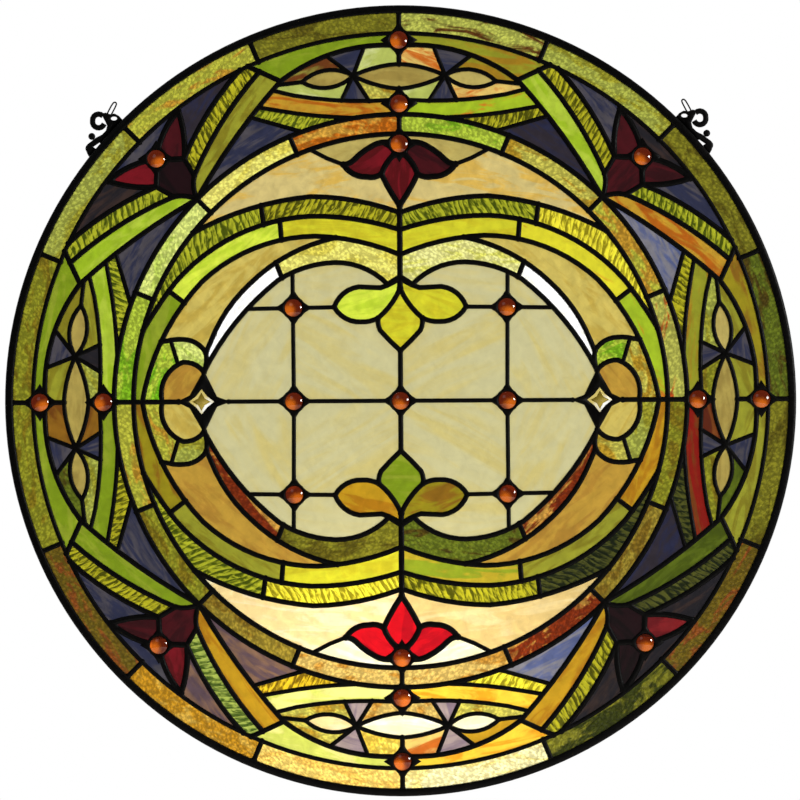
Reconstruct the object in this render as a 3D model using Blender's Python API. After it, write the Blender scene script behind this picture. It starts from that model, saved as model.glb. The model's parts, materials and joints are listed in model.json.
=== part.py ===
"""Round stained glass window: ruby tulips, green blades and a cream grid in soldered lead lines.

All sizes are millimetres in the panel's own plane, measured from the centre of the disc:
the first number of a place is its distance to the right and the second its height.
The panel faces -Y. The scene's origin lies between the two wire loops that it hangs by.
"""
import math

import bmesh
import bpy
import numpy as np
from mathutils.geometry import delaunay_2d_cdt

MM = 0.001

# Driving sizes
DISC_WIDE = 610.0
RIM_WIDE = 6.0
RIM_PROUD = 0.65
BORDER_WIDE = 15.5
FIELD_WIDE = 62.5
RING_WIDE = 15.0
RING_PANES = 16
LEAD_WIDE = 3.6
BEAD_THICK = 0.8
GLASS_THICK = 3.0
GAP = 0.3

# Circles on which the lead rings run, and the faces of the lead and the glass
RIM_INSIDE = DISC_WIDE / 2 - RIM_WIDE
BORDER_LINE = RIM_INSIDE - BORDER_WIDE
RING_OUTER_LINE = BORDER_LINE - FIELD_WIDE
RING_INNER_LINE = RING_OUTER_LINE - RING_WIDE
GLASS_FACE = GLASS_THICK / 2
LEAD_FACE = GLASS_FACE + GAP + BEAD_THICK
RIM_FACE = LEAD_FACE + RIM_PROUD

# How finely round shapes are drawn, and how near two corners or lines count as one
ROUND_SIDES = 32
CHORD_ERROR = 1.4
WELD = 0.12
GLASS_WELD = 0.05
SAME_PLACE = 0.0001
STRAIGHT_ENOUGH = 0.15

# Jewels
JEWEL_WIDE = 14.0
JEWEL_SIDES = 8
JEWEL_FRONT = 4.6
JEWEL_GIRDLE = 1.8
COLLAR_LEAD = 2.5
DIAMOND_REACH = 10.0
DIAMOND_WAIST = 6.3
DIAMOND_FRONT = 4.2

# Hanging brackets and wire loops: places are from the middle of the right scroll
BRACKET_TURN = 43.16
SCROLL_OUT = 12.7
SCROLL_RADIUS = 4.8
SCROLL_STROKE = 4.2
PLATE_THICK = 2.6
WIRE_WIDE = 1.3
LOOP_WIDE = 3.6
LOOP_FOOT = (-7.4, 4.6)
LOOP_TIP = (-13.2, 14.6)
BRACKET_OUTLINE = [
    (-22.0, -3.0),
    (-13.6, 5.4),
    (-9.4, 5.2),
    (-2.4, 6.2),
    (-2.4, 2.9),
    (-5.0, -0.8),
    (-6.2, -4.6),
    (-4.2, -9.2),
    (3.6, -14.0),
    (9.2, -17.0),
    (10.2, -22.0),
    (5.0, -33.0),
]
BRACKET_KNOB = (5.4, -12.2)
BRACKET_EYE = [(-14.2, 1.4), (-12.0, 3.2), (-9.6, 1.6), (-12.0, 0.0)]
BRACKET_HOLE = [(-1.6, -16.8), (4.4, -19.6), (2.2, -22.6)]
KNOB_RADIUS = 2.7
SCROLL_START = 130.0
SCROLL_END = -150.0
SCROLL_POINTS = 8

# Places in one eighth of the outer field, where lead lines meet or jewels sit
FIELD = {
    "outer_jewel": (278.2, 0.0),
    "inner_jewel": (229.2, 0.0),
    "blade_middle": (70.0, 266.0),
    "blade_heel": (91.4, 246.9),
    "border_meet": (116.5, 258.5),
    "diagonal": (156.3, 156.3),
    "twin_top": (107.6, 254.4),
    "twin_end": (158.2, 174.4),
    "ripple_top": (122.7, 255.8),
    "ripple_end": (165.9, 187.5),
    "petal_tip": (170.5, 224.5),
    "petal_foot": (175.5, 187.2),
    "corner_jewel": (187.5, 187.5),
    "corner_petal": (174.0, 171.0),
}

# Places in one quarter of the picture inside the ring
INSIDE = {
    "grid_jewel": (82.3, 72.0),
    "tulip_jewel": (0.0, 198.3),
    "diamond_middle": (153.5, 0.0),
    "tan_middle": (80.0, 170.0),
    "crescent_middle": (150.0, 70.0),
    "green_arch_middle": (30.0, 138.0),
    "gold_arch_middle": (40.0, 108.0),
    "fleur_middle": (30.0, 75.0),
    "tulip_middle": (25.0, 182.0),
    "shoe_middle": (191.0, 20.0),
    "moon_middle": (172.0, 15.0),
    "grid_middle": (40.0, 30.0),
    "middle": (0.0, 0.0),
    "grid_foot": (82.3, 0.0),
    "grid_head": (82.3, 98.0),
    "grid_side": (118.5, 72.0),
    "ring_meet": (206.0, 0.0),
    "outer_arch_axis": (0.0, 145.1),
    "outer_arch_top": (68.3, 157.8),
    "outer_arch_end": (159.7, 130.1),
    "inner_arch_axis": (0.0, 112.7),
    "inner_arch_top": (65.0, 127.3),
    "inner_arch_side": (152.8, 92.6),
    "inner_arch_end": (199.3, 0.0),
    "crescent_tip": (49.4, 126.0),
    "crescent_side": (115.7, 91.0),
    "crescent_end": (149.3, 37.8),
    "grid_arch_start": (9.6, 89.9),
    "grid_arch_top": (50.5, 106.9),
    "grid_arch_side": (94.1, 93.4),
    "knot": (151.6, 22.9),
    "shoe_top": (167.8, 48.2),
    "shoe_right": (183.3, 45.9),
    "moon_top": (167.7, 30.6),
    "moon_end": (183.9, 0.0),
    "diamond_left": (141.6, 3.5),
    "diamond_far_left": (132.7, 0.0),
    "diamond_right": (162.8, 4.5),
    "diamond_far_right": (171.7, 0.0),
    "fleur_top": (0.0, 94.9),
    "fleur_dip": (15.0, 87.2),
    "fleur_crest": (32.0, 88.0),
    "fleur_tip": (50.9, 72.5),
    "fleur_belly": (29.9, 61.0),
    "fleur_waist": (17.0, 63.9),
    "fleur_core": (0.0, 86.8),
    "bud_side": (15.4, 54.2),
    "bud_point": (0.0, 38.6),
    "tulip_start": (6.9, 199.1),
    "tulip_crest": (20.1, 197.1),
    "tulip_dip": (35.5, 185.6),
    "tulip_tip": (43.2, 182.3),
    "tulip_belly": (25.5, 172.8),
    "tulip_waist": (13.9, 174.8),
    "tulip_core": (4.2, 189.8),
    "tulip_point": (0.0, 150.5),
}

# The cartoon's own lead rings, from places that lie on them. It is fitted to the rings above
DRAWN_BORDER = math.hypot(*FIELD["border_meet"])
DRAWN_RING_OUTER = math.hypot(*FIELD["diagonal"])
DRAWN_RING_INNER = math.hypot(*INSIDE["ring_meet"])

# Lines that part two glass nodes: place, bulge, place, bulge, place
FIELD_PARTING = [
    ["ripple_top", 3.5, "ripple_end", 0.0, "twin_end", 1.5, "diagonal"],
]
INSIDE_PARTING = [
    ["outer_arch_axis", 3.1, "outer_arch_top", 5.0, "outer_arch_end"],
    ["inner_arch_axis", 3.1, "inner_arch_top", 8.9, "inner_arch_side", 7.7, "inner_arch_end"],
    ["crescent_tip", 5.4, "crescent_side", 4.2, "crescent_end", 0.0, "knot"],
    ["fleur_top", 0.0, "grid_arch_start", 4.6, "grid_arch_top", 3.1, "grid_arch_side", 5.0, "knot"],
    ["crescent_end", 2.9, "shoe_top", 0.9, "shoe_right"],
    ["knot", 2.3, "moon_top", 6.6, "moon_end"],
    ["fleur_top", -0.8, "fleur_dip", 0.0, "fleur_crest", 3.5, "fleur_tip"],
    ["fleur_tip", 3.5, "fleur_belly", 0.9, "fleur_waist", 0.8, "bud_side", 0.2, "bud_point"],
    ["tulip_start", 1.2, "tulip_crest", 0.8, "tulip_dip", -0.8, "tulip_tip"],
    ["tulip_waist", -1.2, "tulip_belly", -2.7, "tulip_tip"],
    ["tulip_waist", 0.6, "tulip_point", 0.0, "outer_arch_axis"],
    ["inner_arch_end", 0.0, "ring_meet"],
]

# Lines inside one glass node
FIELD_LINES = [
    ["border_meet", 0.0, "blade_heel", 3.1, "diagonal"],
    ["twin_top", 3.9, "twin_end"],
    ["petal_tip", -2.0, "ripple_end", 0.0, "petal_foot", 0.0, "corner_jewel"],
]
INSIDE_LINES = [
    ["fleur_waist", 1.7, "fleur_core"],
    ["tulip_core", 1.2, "tulip_waist"],
    ["middle", 0.0, "bud_point"],
    ["middle", 0.0, "diamond_far_left"],
    ["grid_foot", 0.0, "grid_head"],
    ["fleur_tip", 0.0, "grid_side"],
]

# sRGB colours of the metal and of each kind of glass
LEAD = (0.075, 0.070, 0.068)
AMBER = (0.62, 0.22, 0.05)
PALE_GOLD = (0.80, 0.66, 0.32)
GLASS_COLOURS = {
    "olive hammered glass": (0.64, 0.62, 0.22),
    "straw glass": (0.84, 0.74, 0.40),
    "leaf green glass": (0.66, 0.74, 0.16),
    "lemon glass": (0.88, 0.84, 0.38),
    "dusk glass": (0.22, 0.15, 0.20),
    "mauve glass": (0.45, 0.30, 0.36),
    "tan glass": (0.80, 0.70, 0.46),
    "ivory glass": (0.90, 0.87, 0.74),
    "lime glass": (0.78, 0.78, 0.16),
    "pale gold glass": (0.84, 0.80, 0.54),
    "russet glass": (0.56, 0.34, 0.14),
    "honey glass": (0.84, 0.70, 0.42),
    "spring green glass": (0.74, 0.80, 0.46),
    "amber glass": (0.85, 0.58, 0.14),
    "cream glass": (0.90, 0.88, 0.72),
    "yellow glass": (0.86, 0.70, 0.18),
    "ruby glass": (0.45, 0.03, 0.07),
}

QUARTERS = {"top_right": (1, 1), "top_left": (-1, 1), "bottom_left": (-1, -1), "bottom_right": (1, -1)}
SIDES = {"right": (1, 0), "top": (0, 1), "left": (-1, 0), "bottom": (0, -1)}


def clear_scene():
    for thing in list(bpy.data.objects):
        bpy.data.objects.remove(thing, do_unlink=True)


def circle(radius, sides, centre=(0.0, 0.0), turn=0.0):
    """The corners of a regular outline that just fits inside this circle."""
    angles = turn + np.arange(sides) * 2 * math.pi / sides
    return np.stack([centre[0] + radius * np.cos(angles), centre[1] + radius * np.sin(angles)], -1)


def arc(start, end, bulge):
    """Points from start to end on the circle that rises by bulge to the left of the chord."""
    along = end - start
    chord = math.hypot(*along)
    if bulge == 0:
        return np.stack([start, end])
    half = 2 * math.atan2(2 * abs(bulge), chord)
    radius = chord / (2 * math.sin(half))
    steps = math.ceil(half / math.acos(max(0.0, 1 - CHORD_ERROR / radius)))
    turns = np.linspace(-half, half, steps + 1)
    forward = chord / 2 + radius * np.sin(turns)
    aside = radius * (np.cos(turns) - math.cos(half)) * math.copysign(1, bulge)
    unit = along / chord
    left = np.array([-unit[1], unit[0]])
    return start + np.outer(forward, unit) + np.outer(aside, left)


def in_field(place):
    """Where a place drawn between the ring and the border comes to lie."""
    drawn = math.hypot(*place)
    share = (drawn - DRAWN_RING_OUTER) / (DRAWN_BORDER - DRAWN_RING_OUTER)
    return np.array(place) / drawn * (RING_OUTER_LINE + share * FIELD_WIDE)


def in_picture(place):
    """Where a place drawn inside the ring comes to lie."""
    return np.array(place) * RING_INNER_LINE / DRAWN_RING_INNER


def chain(places, fit, scale, steps):
    """One line through named places: place, bulge, place, bulge, place."""
    line = [fit(places[steps[0]])[None]]
    for index in range(1, len(steps), 2):
        start = fit(places[steps[index - 1]])
        end = fit(places[steps[index + 1]])
        line.append(arc(start, end, steps[index] * scale)[1:])
    return np.vstack(line)


def field_chains(lines):
    scale = FIELD_WIDE / (DRAWN_BORDER - DRAWN_RING_OUTER)
    drawn = [chain(FIELD, in_field, scale, steps) for steps in lines]
    return mirrored(drawn + [line[:, ::-1] for line in drawn])


def picture_chains(lines):
    scale = RING_INNER_LINE / DRAWN_RING_INNER
    return mirrored([chain(INSIDE, in_picture, scale, steps) for steps in lines])


def mirrored(lines):
    """Each line in all four quarters, once where a mirror image is the same line."""
    found = []
    for line in lines:
        for across, up in QUARTERS.values():
            on_upright = abs(line[:, 0]).max() < GAP
            on_level = abs(line[:, 1]).max() < GAP
            if (across < 0 and on_upright) or (up < 0 and on_level):
                continue
            found.append(line * (across, up))
    return found


def spokes():
    """The straight lines that divide the inner ring and the border band."""
    lines = []
    for index in range(RING_PANES):
        angle = index * 2 * math.pi / RING_PANES
        way = np.array([math.cos(angle), math.sin(angle)])
        lines.append(np.stack([way * RING_INNER_LINE, way * RING_OUTER_LINE]))
        lines.append(np.stack([way * BORDER_LINE, way * (RIM_INSIDE - GAP)]))
    return lines


def ribbon(line, width):
    """The outline of a band of this width along a line, with mitred bends."""
    steps = np.diff(line, axis=0)
    steps /= np.hypot(steps[:, 0], steps[:, 1])[:, None]
    normals = np.stack([-steps[:, 1], steps[:, 0]], -1)
    first = np.vstack([normals[:1], normals])
    second = np.vstack([normals, normals[-1:]])
    mitre = (first + second) / (1 + (first * second).sum(-1))[:, None]
    offset = mitre * width / 2
    return np.vstack([line + offset, (line - offset)[::-1]])


def star_outline(centre, reach, waist):
    """Four points with hollow sides between them."""
    angles = np.arange(8) * math.pi / 4
    radii = np.where(np.arange(8) % 2, waist, reach)
    return np.stack([centre[0] + radii * np.cos(angles), centre[1] + radii * np.sin(angles)], -1)


def diamond_surround(side, grow):
    """The lead plate round a faceted diamond, between the grid and the half moon."""
    upper = ["diamond_far_left", "diamond_left", "knot", "diamond_right", "diamond_far_right"]
    top = np.array([in_picture(INSIDE[name]) for name in upper])
    outline = np.vstack([top, top[-2:0:-1] * (1, -1)])
    away = outline - in_picture(INSIDE["diamond_middle"])
    away /= np.hypot(away[:, 0], away[:, 1])[:, None]
    return (outline + away * (LEAD_WIDE / 2 + grow)) * (side, 1)


def edge_jewels():
    """Places of the jewels that sit on the lead rings, by name."""
    places = {}
    for side, (across, up) in SIDES.items():
        for label in ("outer", "inner"):
            reach = FIELD[f"{label}_jewel"][0]
            places[f"{side}_{label}"] = in_field((across * reach, up * reach))
    places["tulip_top"] = in_picture(INSIDE["tulip_jewel"])
    places["tulip_bottom"] = -in_picture(INSIDE["tulip_jewel"])
    return places


def inner_jewels():
    """Places of the jewels that sit amid the glass, by name."""
    places = {"centre": np.zeros(2)}
    for name, across in (("left", -1), ("right", 1)):
        places[f"grid_{name}"] = in_picture(INSIDE["grid_foot"]) * across
    for corner, signs in QUARTERS.items():
        places[f"grid_{corner}"] = in_picture(INSIDE["grid_jewel"]) * signs
        places[f"corner_{corner}"] = in_field(FIELD["corner_jewel"]) * signs
    return places


def lozenge(place, lead):
    """A square that stands on one corner, with this much lead round the jewel in its middle."""
    return circle((JEWEL_WIDE / 2 + GAP + lead) * math.sqrt(2), 4, place)


def jewel_outline(place, gap=0.0):
    return circle(JEWEL_WIDE / 2 + gap, JEWEL_SIDES, place, math.pi / JEWEL_SIDES)


def full_depth_lead(grow):
    """Outlines of the lead that runs from front to back, widened all round by grow."""
    outlines = []
    for radius in (BORDER_LINE, RING_OUTER_LINE, RING_INNER_LINE):
        reach = LEAD_WIDE / 2 + grow
        outlines.append([circle(radius - reach, ROUND_SIDES), circle(radius + reach, ROUND_SIDES)])
    outlines += [[diamond_surround(side, grow)] for side in (1, -1)]
    outlines += [[lozenge(place, COLLAR_LEAD + grow)] for place in edge_jewels().values()]
    return outlines


def front_lead():
    """Outlines of the lead lines that lie on the front of the glass."""
    lines = field_chains(FIELD_PARTING + FIELD_LINES) + picture_chains(INSIDE_PARTING + INSIDE_LINES)
    outlines = [[ribbon(line, LEAD_WIDE)] for line in lines + spokes()]
    outlines += [[lozenge(place, COLLAR_LEAD)] for place in inner_jewels().values()]
    return outlines


def inside(points, loops):
    """Which points lie inside an odd number of these closed outlines."""
    odd = np.zeros(len(points), bool)
    for loop in loops:
        for (x0, y0), (x1, y1) in zip(loop, np.roll(loop, -1, axis=0)):
            if y0 != y1:
                crosses = (y0 > points[:, 1]) != (y1 > points[:, 1])
                odd ^= crosses & (points[:, 0] < x0 + (points[:, 1] - y0) * (x1 - x0) / (y1 - y0))
    return odd


def in_any(points, outlines):
    hit = np.zeros(len(points), bool)
    for loops in outlines:
        hit |= inside(points, loops)
    return hit


def triangulate(points, edges, merge):
    found = delaunay_2d_cdt([tuple(p) for p in points], [tuple(e) for e in edges], [], 0, merge, False)
    return np.array([tuple(p) for p in found[0]]), np.array([tuple(f) for f in found[2]], int)


def sides_of(triangle):
    a, b, c = triangle
    return (a, b), (b, c), (c, a)


def borders(triangles, codes):
    """Edges between different codes, each with the codes to its left and its right."""
    sides = {}
    for triangle, code in zip(triangles, codes):
        for start, end in sides_of(triangle):
            sides.setdefault((min(start, end), max(start, end)), []).append((start, end, code))
    kept = []
    for uses in sides.values():
        start, end, near = uses[0]
        far = uses[1][2] if len(uses) > 1 else 0
        if near != far:
            kept.append((start, end, near, far))
    return kept


def without_straight_corners(points, edges, slack):
    """The edges, with each corner dropped that joins two of them in an almost straight line."""
    beside = {}
    for start, end in edges:
        beside.setdefault(start, set()).add(end)
        beside.setdefault(end, set()).add(start)
    for corner in sorted(beside):
        if len(beside[corner]) != 2:
            continue
        before, after = beside[corner]
        along = points[after] - points[before]
        away = points[corner] - points[before]
        length = math.hypot(*along)
        if after in beside[before] or abs(along[0] * away[1] - along[1] * away[0]) > slack * length:
            continue
        for end, other in ((before, after), (after, before)):
            beside[end].remove(corner)
            beside[end].add(other)
        beside[corner] = set()
    return sorted({(min(a, b), max(a, b)) for a in beside for b in beside[a]})


def plan(outlines, code_of, merge=WELD, slack=STRAIGHT_ENOUGH):
    """A plan in few triangles of these outlines, with the code that code_of gives each triangle."""
    loops = [loop for shape in outlines for loop in shape]
    firsts = np.cumsum([0] + [len(loop) for loop in loops])
    edges = []
    for first, loop in zip(firsts, loops):
        count = len(loop)
        edges += [(first + i, first + (i + 1) % count) for i in range(count)]
    corners, triangles = triangulate(np.vstack(loops), edges, merge)
    codes = code_of(corners[triangles].mean(axis=1))
    kept = [(start, end) for start, end, near, far in borders(triangles, codes)]
    points, edges = renumbered(corners, without_straight_corners(corners, kept, slack))
    corners, triangles = triangulate(points, edges, SAME_PLACE)
    return corners, triangles, code_of(corners[triangles].mean(axis=1))


def renumbered(corners, edges):
    """Only the corners that these edges use, and the edges by their new numbers."""
    used = sorted({corner for edge in edges for corner in edge})
    place = {corner: index for index, corner in enumerate(used)}
    return corners[used], [(place[a], place[b]) for a, b in edges]


def slab(name, drawing, levels, material, parent):
    """A closed mesh that fills, over each triangle, the depths that its code stands for."""
    corners, triangles, codes = drawing
    depths = {}
    for triangle, code in zip(triangles, codes):
        for corner in triangle:
            depths.setdefault(corner, set()).update(levels.get(code, ()))
    mesh = bmesh.new()
    made = {}

    def vertex(corner, depth):
        if (corner, depth) not in made:
            x, z = corners[corner]
            made[corner, depth] = mesh.verts.new((x * MM, depth * MM, z * MM))
        return made[corner, depth]

    def face(ring):
        mesh.faces.new([vertex(corner, depth) for corner, depth in ring])

    for triangle, code in zip(triangles, codes):
        for depth in levels.get(code, ()):
            face([(corner, depth) for corner in triangle])
    for start, end, near, far in borders(triangles, codes):
        spans = sorted((levels[code] for code in (near, far) if code in levels), key=lambda span: -span[1])
        if not spans:
            continue
        front, back = spans[0]
        if len(spans) == 2:
            front = spans[1][1]
        rise = sorted(depth for depth in depths[start] if front <= depth <= back)
        fall = sorted((depth for depth in depths[end] if front <= depth <= back), reverse=True)
        ring = [(start, depth) for depth in rise] + [(end, depth) for depth in fall]
        for index in range(1, len(ring) - 1):
            face([ring[0], ring[index], ring[index + 1]])
    return finished(name, mesh, material, parent)


def gem(name, outline, girdle, back, peak, material, parent):
    """A flat-backed jewel: an upright edge from back to girdle, and facets that rise to a peak."""
    mesh = bmesh.new()
    rings = [[mesh.verts.new((x * MM, depth * MM, z * MM)) for x, z in outline] for depth in (girdle, back)]
    front = mesh.faces.new(rings[0])
    mesh.faces.new(rings[1])
    for index in range(len(outline)):
        following = (index + 1) % len(outline)
        mesh.faces.new([rings[0][index], rings[0][following], rings[1][following], rings[1][index]])
    for middle in bmesh.ops.poke(mesh, faces=[front])["verts"]:
        middle.co.y = peak * MM
    return finished(name, mesh, material, parent)


def finished(name, mesh, material, parent):
    bmesh.ops.recalc_face_normals(mesh, faces=mesh.faces[:])
    data = bpy.data.meshes.new(name)
    mesh.to_mesh(data)
    mesh.free()
    data.materials.append(material)
    thing = bpy.data.objects.new(name, data)
    bpy.context.scene.collection.objects.link(thing)
    thing.parent = parent
    return thing


def new_material(name, colour, roughness, metallic=0.0, clear=0.0):
    made = bpy.data.materials.new(name)
    made.use_nodes = True
    shader = made.node_tree.nodes["Principled BSDF"]
    linear = [value / 12.92 if value <= 0.04045 else ((value + 0.055) / 1.055) ** 2.4 for value in colour]
    shader.inputs["Base Color"].default_value = (*linear, 1.0)
    shader.inputs["Roughness"].default_value = roughness
    shader.inputs["Metallic"].default_value = metallic
    shader.inputs["Transmission Weight"].default_value = clear
    return made


def build_rim(parent):
    mesh = bmesh.new()
    rings = []
    for radius, depth in (
        (DISC_WIDE / 2, -RIM_FACE),
        (DISC_WIDE / 2, RIM_FACE),
        (RIM_INSIDE, RIM_FACE),
        (RIM_INSIDE, -RIM_FACE),
    ):
        rings.append([mesh.verts.new((x * MM, depth * MM, z * MM)) for x, z in circle(radius, ROUND_SIDES)])
    for ring, after in zip(rings, rings[1:] + rings[:1]):
        for index in range(ROUND_SIDES):
            following = (index + 1) % ROUND_SIDES
            mesh.faces.new([ring[index], ring[following], after[following], after[index]])
    finished("rim", mesh, new_material("rim came", LEAD, 0.5, 0.8), parent)


def build_leading(parent):
    through = full_depth_lead(0.0)
    front = front_lead()
    holes = [[jewel_outline(place, GAP)] for place in (edge_jewels() | inner_jewels()).values()]
    for side in (1, -1):
        place = in_picture(INSIDE["diamond_middle"]) * side
        holes.append([star_outline(place, DIAMOND_REACH + 2 * GAP, DIAMOND_WAIST + GAP)])

    def code_of(points):
        code = np.where(in_any(points, through), 2, np.where(in_any(points, front), 1, 0))
        return np.where(in_any(points, holes), 0, code)

    levels = {1: (-LEAD_FACE, -GLASS_FACE - GAP), 2: (-LEAD_FACE, LEAD_FACE)}
    solder = new_material("solder and lead", LEAD, 0.45, 0.8)
    slab("leading", plan(through + front + holes, code_of), levels, solder, parent)


def glass_places():
    """For each glass node, its colour and a place inside it."""
    places = {
        "border_band": ("olive hammered glass", polar(BORDER_LINE + BORDER_WIDE / 2, 4)),
        "inner_ring": ("straw glass", polar(RING_OUTER_LINE - RING_WIDE / 2, 4)),
        "cream_grid": ("cream glass", in_picture(INSIDE["grid_middle"])),
    }
    field = {"right": "leaf green", "top": "leaf green", "left": "leaf green", "bottom": "lemon"}
    for side, colour in field.items():
        across, up = SIDES[side]
        level, upright = in_field(FIELD["blade_middle"])
        place = (across * upright + up * level, up * upright + across * level)
        places[f"field_{side}"] = (f"{colour} glass", np.array(place))
    for corner, signs in QUARTERS.items():
        top = signs[1] > 0
        dusk = "mauve glass" if corner == "bottom_left" else "dusk glass"
        tan = "tan glass" if top else "ivory glass"
        places[f"corner_tulip_{corner}"] = (dusk, in_field(FIELD["corner_petal"]) * signs)
        places[f"tan_field_{corner}"] = (tan, in_picture(INSIDE["tan_middle"]) * signs)
        places[f"crescent_{corner}"] = ("honey glass", in_picture(INSIDE["crescent_middle"]) * signs)
    for name, up in (("top", 1), ("bottom", -1)):
        gold = "pale gold glass" if up > 0 else "russet glass"
        places[f"green_arches_{name}"] = ("lime glass", in_picture(INSIDE["green_arch_middle"]) * (1, up))
        places[f"gold_arches_{name}"] = (gold, in_picture(INSIDE["gold_arch_middle"]) * (1, up))
        places[f"fleur_{name}"] = ("yellow glass", in_picture(INSIDE["fleur_middle"]) * (1, up))
        places[f"tulip_{name}"] = ("ruby glass", in_picture(INSIDE["tulip_middle"]) * (1, up))
    for name, across in (("right", 1), ("left", -1)):
        places[f"horseshoe_{name}"] = ("spring green glass", in_picture(INSIDE["shoe_middle"]) * (across, 1))
        places[f"half_moon_{name}"] = ("amber glass", in_picture(INSIDE["moon_middle"]) * (across, 1))
    return places


def polar(radius, degrees):
    return radius * np.array([math.cos(math.radians(degrees)), math.sin(math.radians(degrees))])


def triangle_at(corners, triangles, place):
    """The number of the triangle that this place lies in."""
    points = corners[triangles]
    turns = []
    for start, end in ((0, 1), (1, 2), (2, 0)):
        along = points[:, end] - points[:, start]
        away = place - points[:, start]
        turns.append(along[:, 0] * away[:, 1] - along[:, 1] * away[:, 0])
    return int(np.flatnonzero(np.min(turns, axis=0) >= 0)[0])


def panes(points, edges, merge):
    """A plan of the glass, where each triangle's code is the number of the pane it belongs to."""
    found = delaunay_2d_cdt([tuple(p) for p in points], edges, [], 0, merge, True)
    corners = np.array([tuple(p) for p in found[0]])
    triangles = np.array([tuple(f) for f in found[2]])
    walls = {tuple(sorted(edge)) for edge, sources in zip(found[1], found[4]) if sources}
    beside = {}
    for index, triangle in enumerate(triangles):
        for side in sides_of(triangle):
            beside.setdefault(tuple(sorted(side)), []).append(index)
    codes = np.zeros(len(triangles), int)
    for number, (shade, place) in enumerate(glass_places().values(), 1):
        waiting = [triangle_at(corners, triangles, place)]
        while waiting:
            index = waiting.pop()
            codes[index] = number
            for side in sides_of(triangles[index]):
                if tuple(sorted(side)) not in walls:
                    waiting += [other for other in beside[tuple(sorted(side))] if not codes[other]]
    return corners, triangles, codes


def glass_plan():
    """The panes, parted along the middles of the lead lines, with the full-depth lead left out."""
    loops = [circle(RIM_INSIDE - GAP / 2, ROUND_SIDES)]
    loops += [loop for shape in full_depth_lead(GAP / 2) for loop in shape]
    loops += [lozenge(place, -GAP / 2) for place in inner_jewels().values()]
    lines = field_chains(FIELD_PARTING) + picture_chains(INSIDE_PARTING)
    edges = []
    count = 0
    for loop in loops:
        edges += [(count + index, count + (index + 1) % len(loop)) for index in range(len(loop))]
        count += len(loop)
    for line in lines:
        edges += [(count + index, count + index + 1) for index in range(len(line) - 1)]
        count += len(line)
    points = np.vstack(loops + [lengthened(line, LEAD_WIDE / 2) for line in lines])
    corners, triangles, codes = panes(points, edges, GLASS_WELD)
    kept = [(start, end) for start, end, near, far in borders(triangles, codes)]
    return panes(*renumbered(corners, without_straight_corners(corners, kept, GAP)), SAME_PLACE)


def lengthened(line, more):
    """A line whose two ends reach further, so that it meets the line that it ends on."""
    line = line.copy()
    for end, beside in ((0, 1), (-1, -2)):
        away = line[end] - line[beside]
        line[end] += away / math.hypot(*away) * more
    return line


def pane_outline(corners, triangles, own):
    """The closed outlines of one pane, moved inwards by half the gap to its neighbours."""
    follow = {}
    for start, end, near, far in borders(triangles, own):
        if near:
            follow[start] = end
        else:
            follow[end] = start
    loops = []
    while follow:
        loop = [next(iter(follow))]
        while loop[-1] in follow:
            loop.append(follow.pop(loop[-1]))
        points = corners[loop[:-1]]
        before = points - np.roll(points, 1, axis=0)
        before /= np.hypot(before[:, 0], before[:, 1])[:, None]
        after = np.roll(before, -1, axis=0)
        mitre = np.stack([-(before + after)[:, 1], (before + after)[:, 0]], -1)
        mitre /= (1 + (before * after).sum(-1))[:, None]
        loops.append(points + mitre * GAP / 2)
    return loops


def build_glass(parent):
    corners, triangles, codes = glass_plan()
    shades = {name: new_material(name, colour, 0.2, 0.0, 0.35) for name, colour in GLASS_COLOURS.items()}
    for number, (name, (shade, place)) in enumerate(glass_places().items(), 1):
        outline = pane_outline(corners, triangles, codes == number)
        drawing = plan([outline], lambda points: inside(points, outline).astype(int), SAME_PLACE, 0.0)
        slab(f"glass_{name}", drawing, {1: (-GLASS_FACE, GLASS_FACE)}, shades[shade], parent)


def build_jewels(parent):
    amber = new_material("amber jewel", AMBER, 0.08, 0.0, 0.5)
    for name, place in (edge_jewels() | inner_jewels()).items():
        outline = jewel_outline(place)
        gem(f"jewel_{name}", outline, -JEWEL_GIRDLE, GLASS_FACE, -JEWEL_FRONT, amber, parent)


def build_diamonds(parent):
    gold = new_material("pale gold diamond", PALE_GOLD, 0.06, 0.0, 0.6)
    for name, side in (("right", 1), ("left", -1)):
        middle = in_picture(INSIDE["diamond_middle"]) * side
        outline = star_outline(middle, DIAMOND_REACH, DIAMOND_WAIST)
        gem(f"diamond_{name}", outline, -GLASS_FACE, GLASS_FACE, -DIAMOND_FRONT, gold, parent)


def scroll_place():
    """The middle of the right bracket's scroll."""
    return polar(DISC_WIDE / 2 + SCROLL_OUT, BRACKET_TURN)


def bracket_outlines():
    """The right bracket's metal and holes, about the middle of its scroll."""
    turns = np.radians(np.linspace(SCROLL_START, SCROLL_END, SCROLL_POINTS))
    scroll = np.stack([SCROLL_RADIUS * np.cos(turns), SCROLL_RADIUS * np.sin(turns)], -1)
    knob = circle(KNOB_RADIUS, 6, BRACKET_KNOB)
    metal = [[ribbon(scroll, SCROLL_STROKE)], [np.array(BRACKET_OUTLINE)], [knob]]
    holes = [[np.array(BRACKET_HOLE)], [np.array(BRACKET_EYE)]]
    return metal, holes


def build_brackets(parent):
    black = new_material("cast scroll bracket", LEAD, 0.55, 0.6)
    rim = [[circle(DISC_WIDE / 2 + GAP, ROUND_SIDES)]]
    for name, side in (("right", 1), ("left", -1)):
        metal, holes = (
            [[(loop + scroll_place()) * (side, 1) for loop in shape] for shape in group]
            for group in bracket_outlines()
        )

        def code_of(points):
            return np.where(in_any(points, metal) & ~in_any(points, holes + rim), 1, 0)

        levels = {1: (-PLATE_THICK / 2, PLATE_THICK / 2)}
        slab(f"bracket_{name}", plan(metal + holes + rim, code_of), levels, black, parent)


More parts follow.
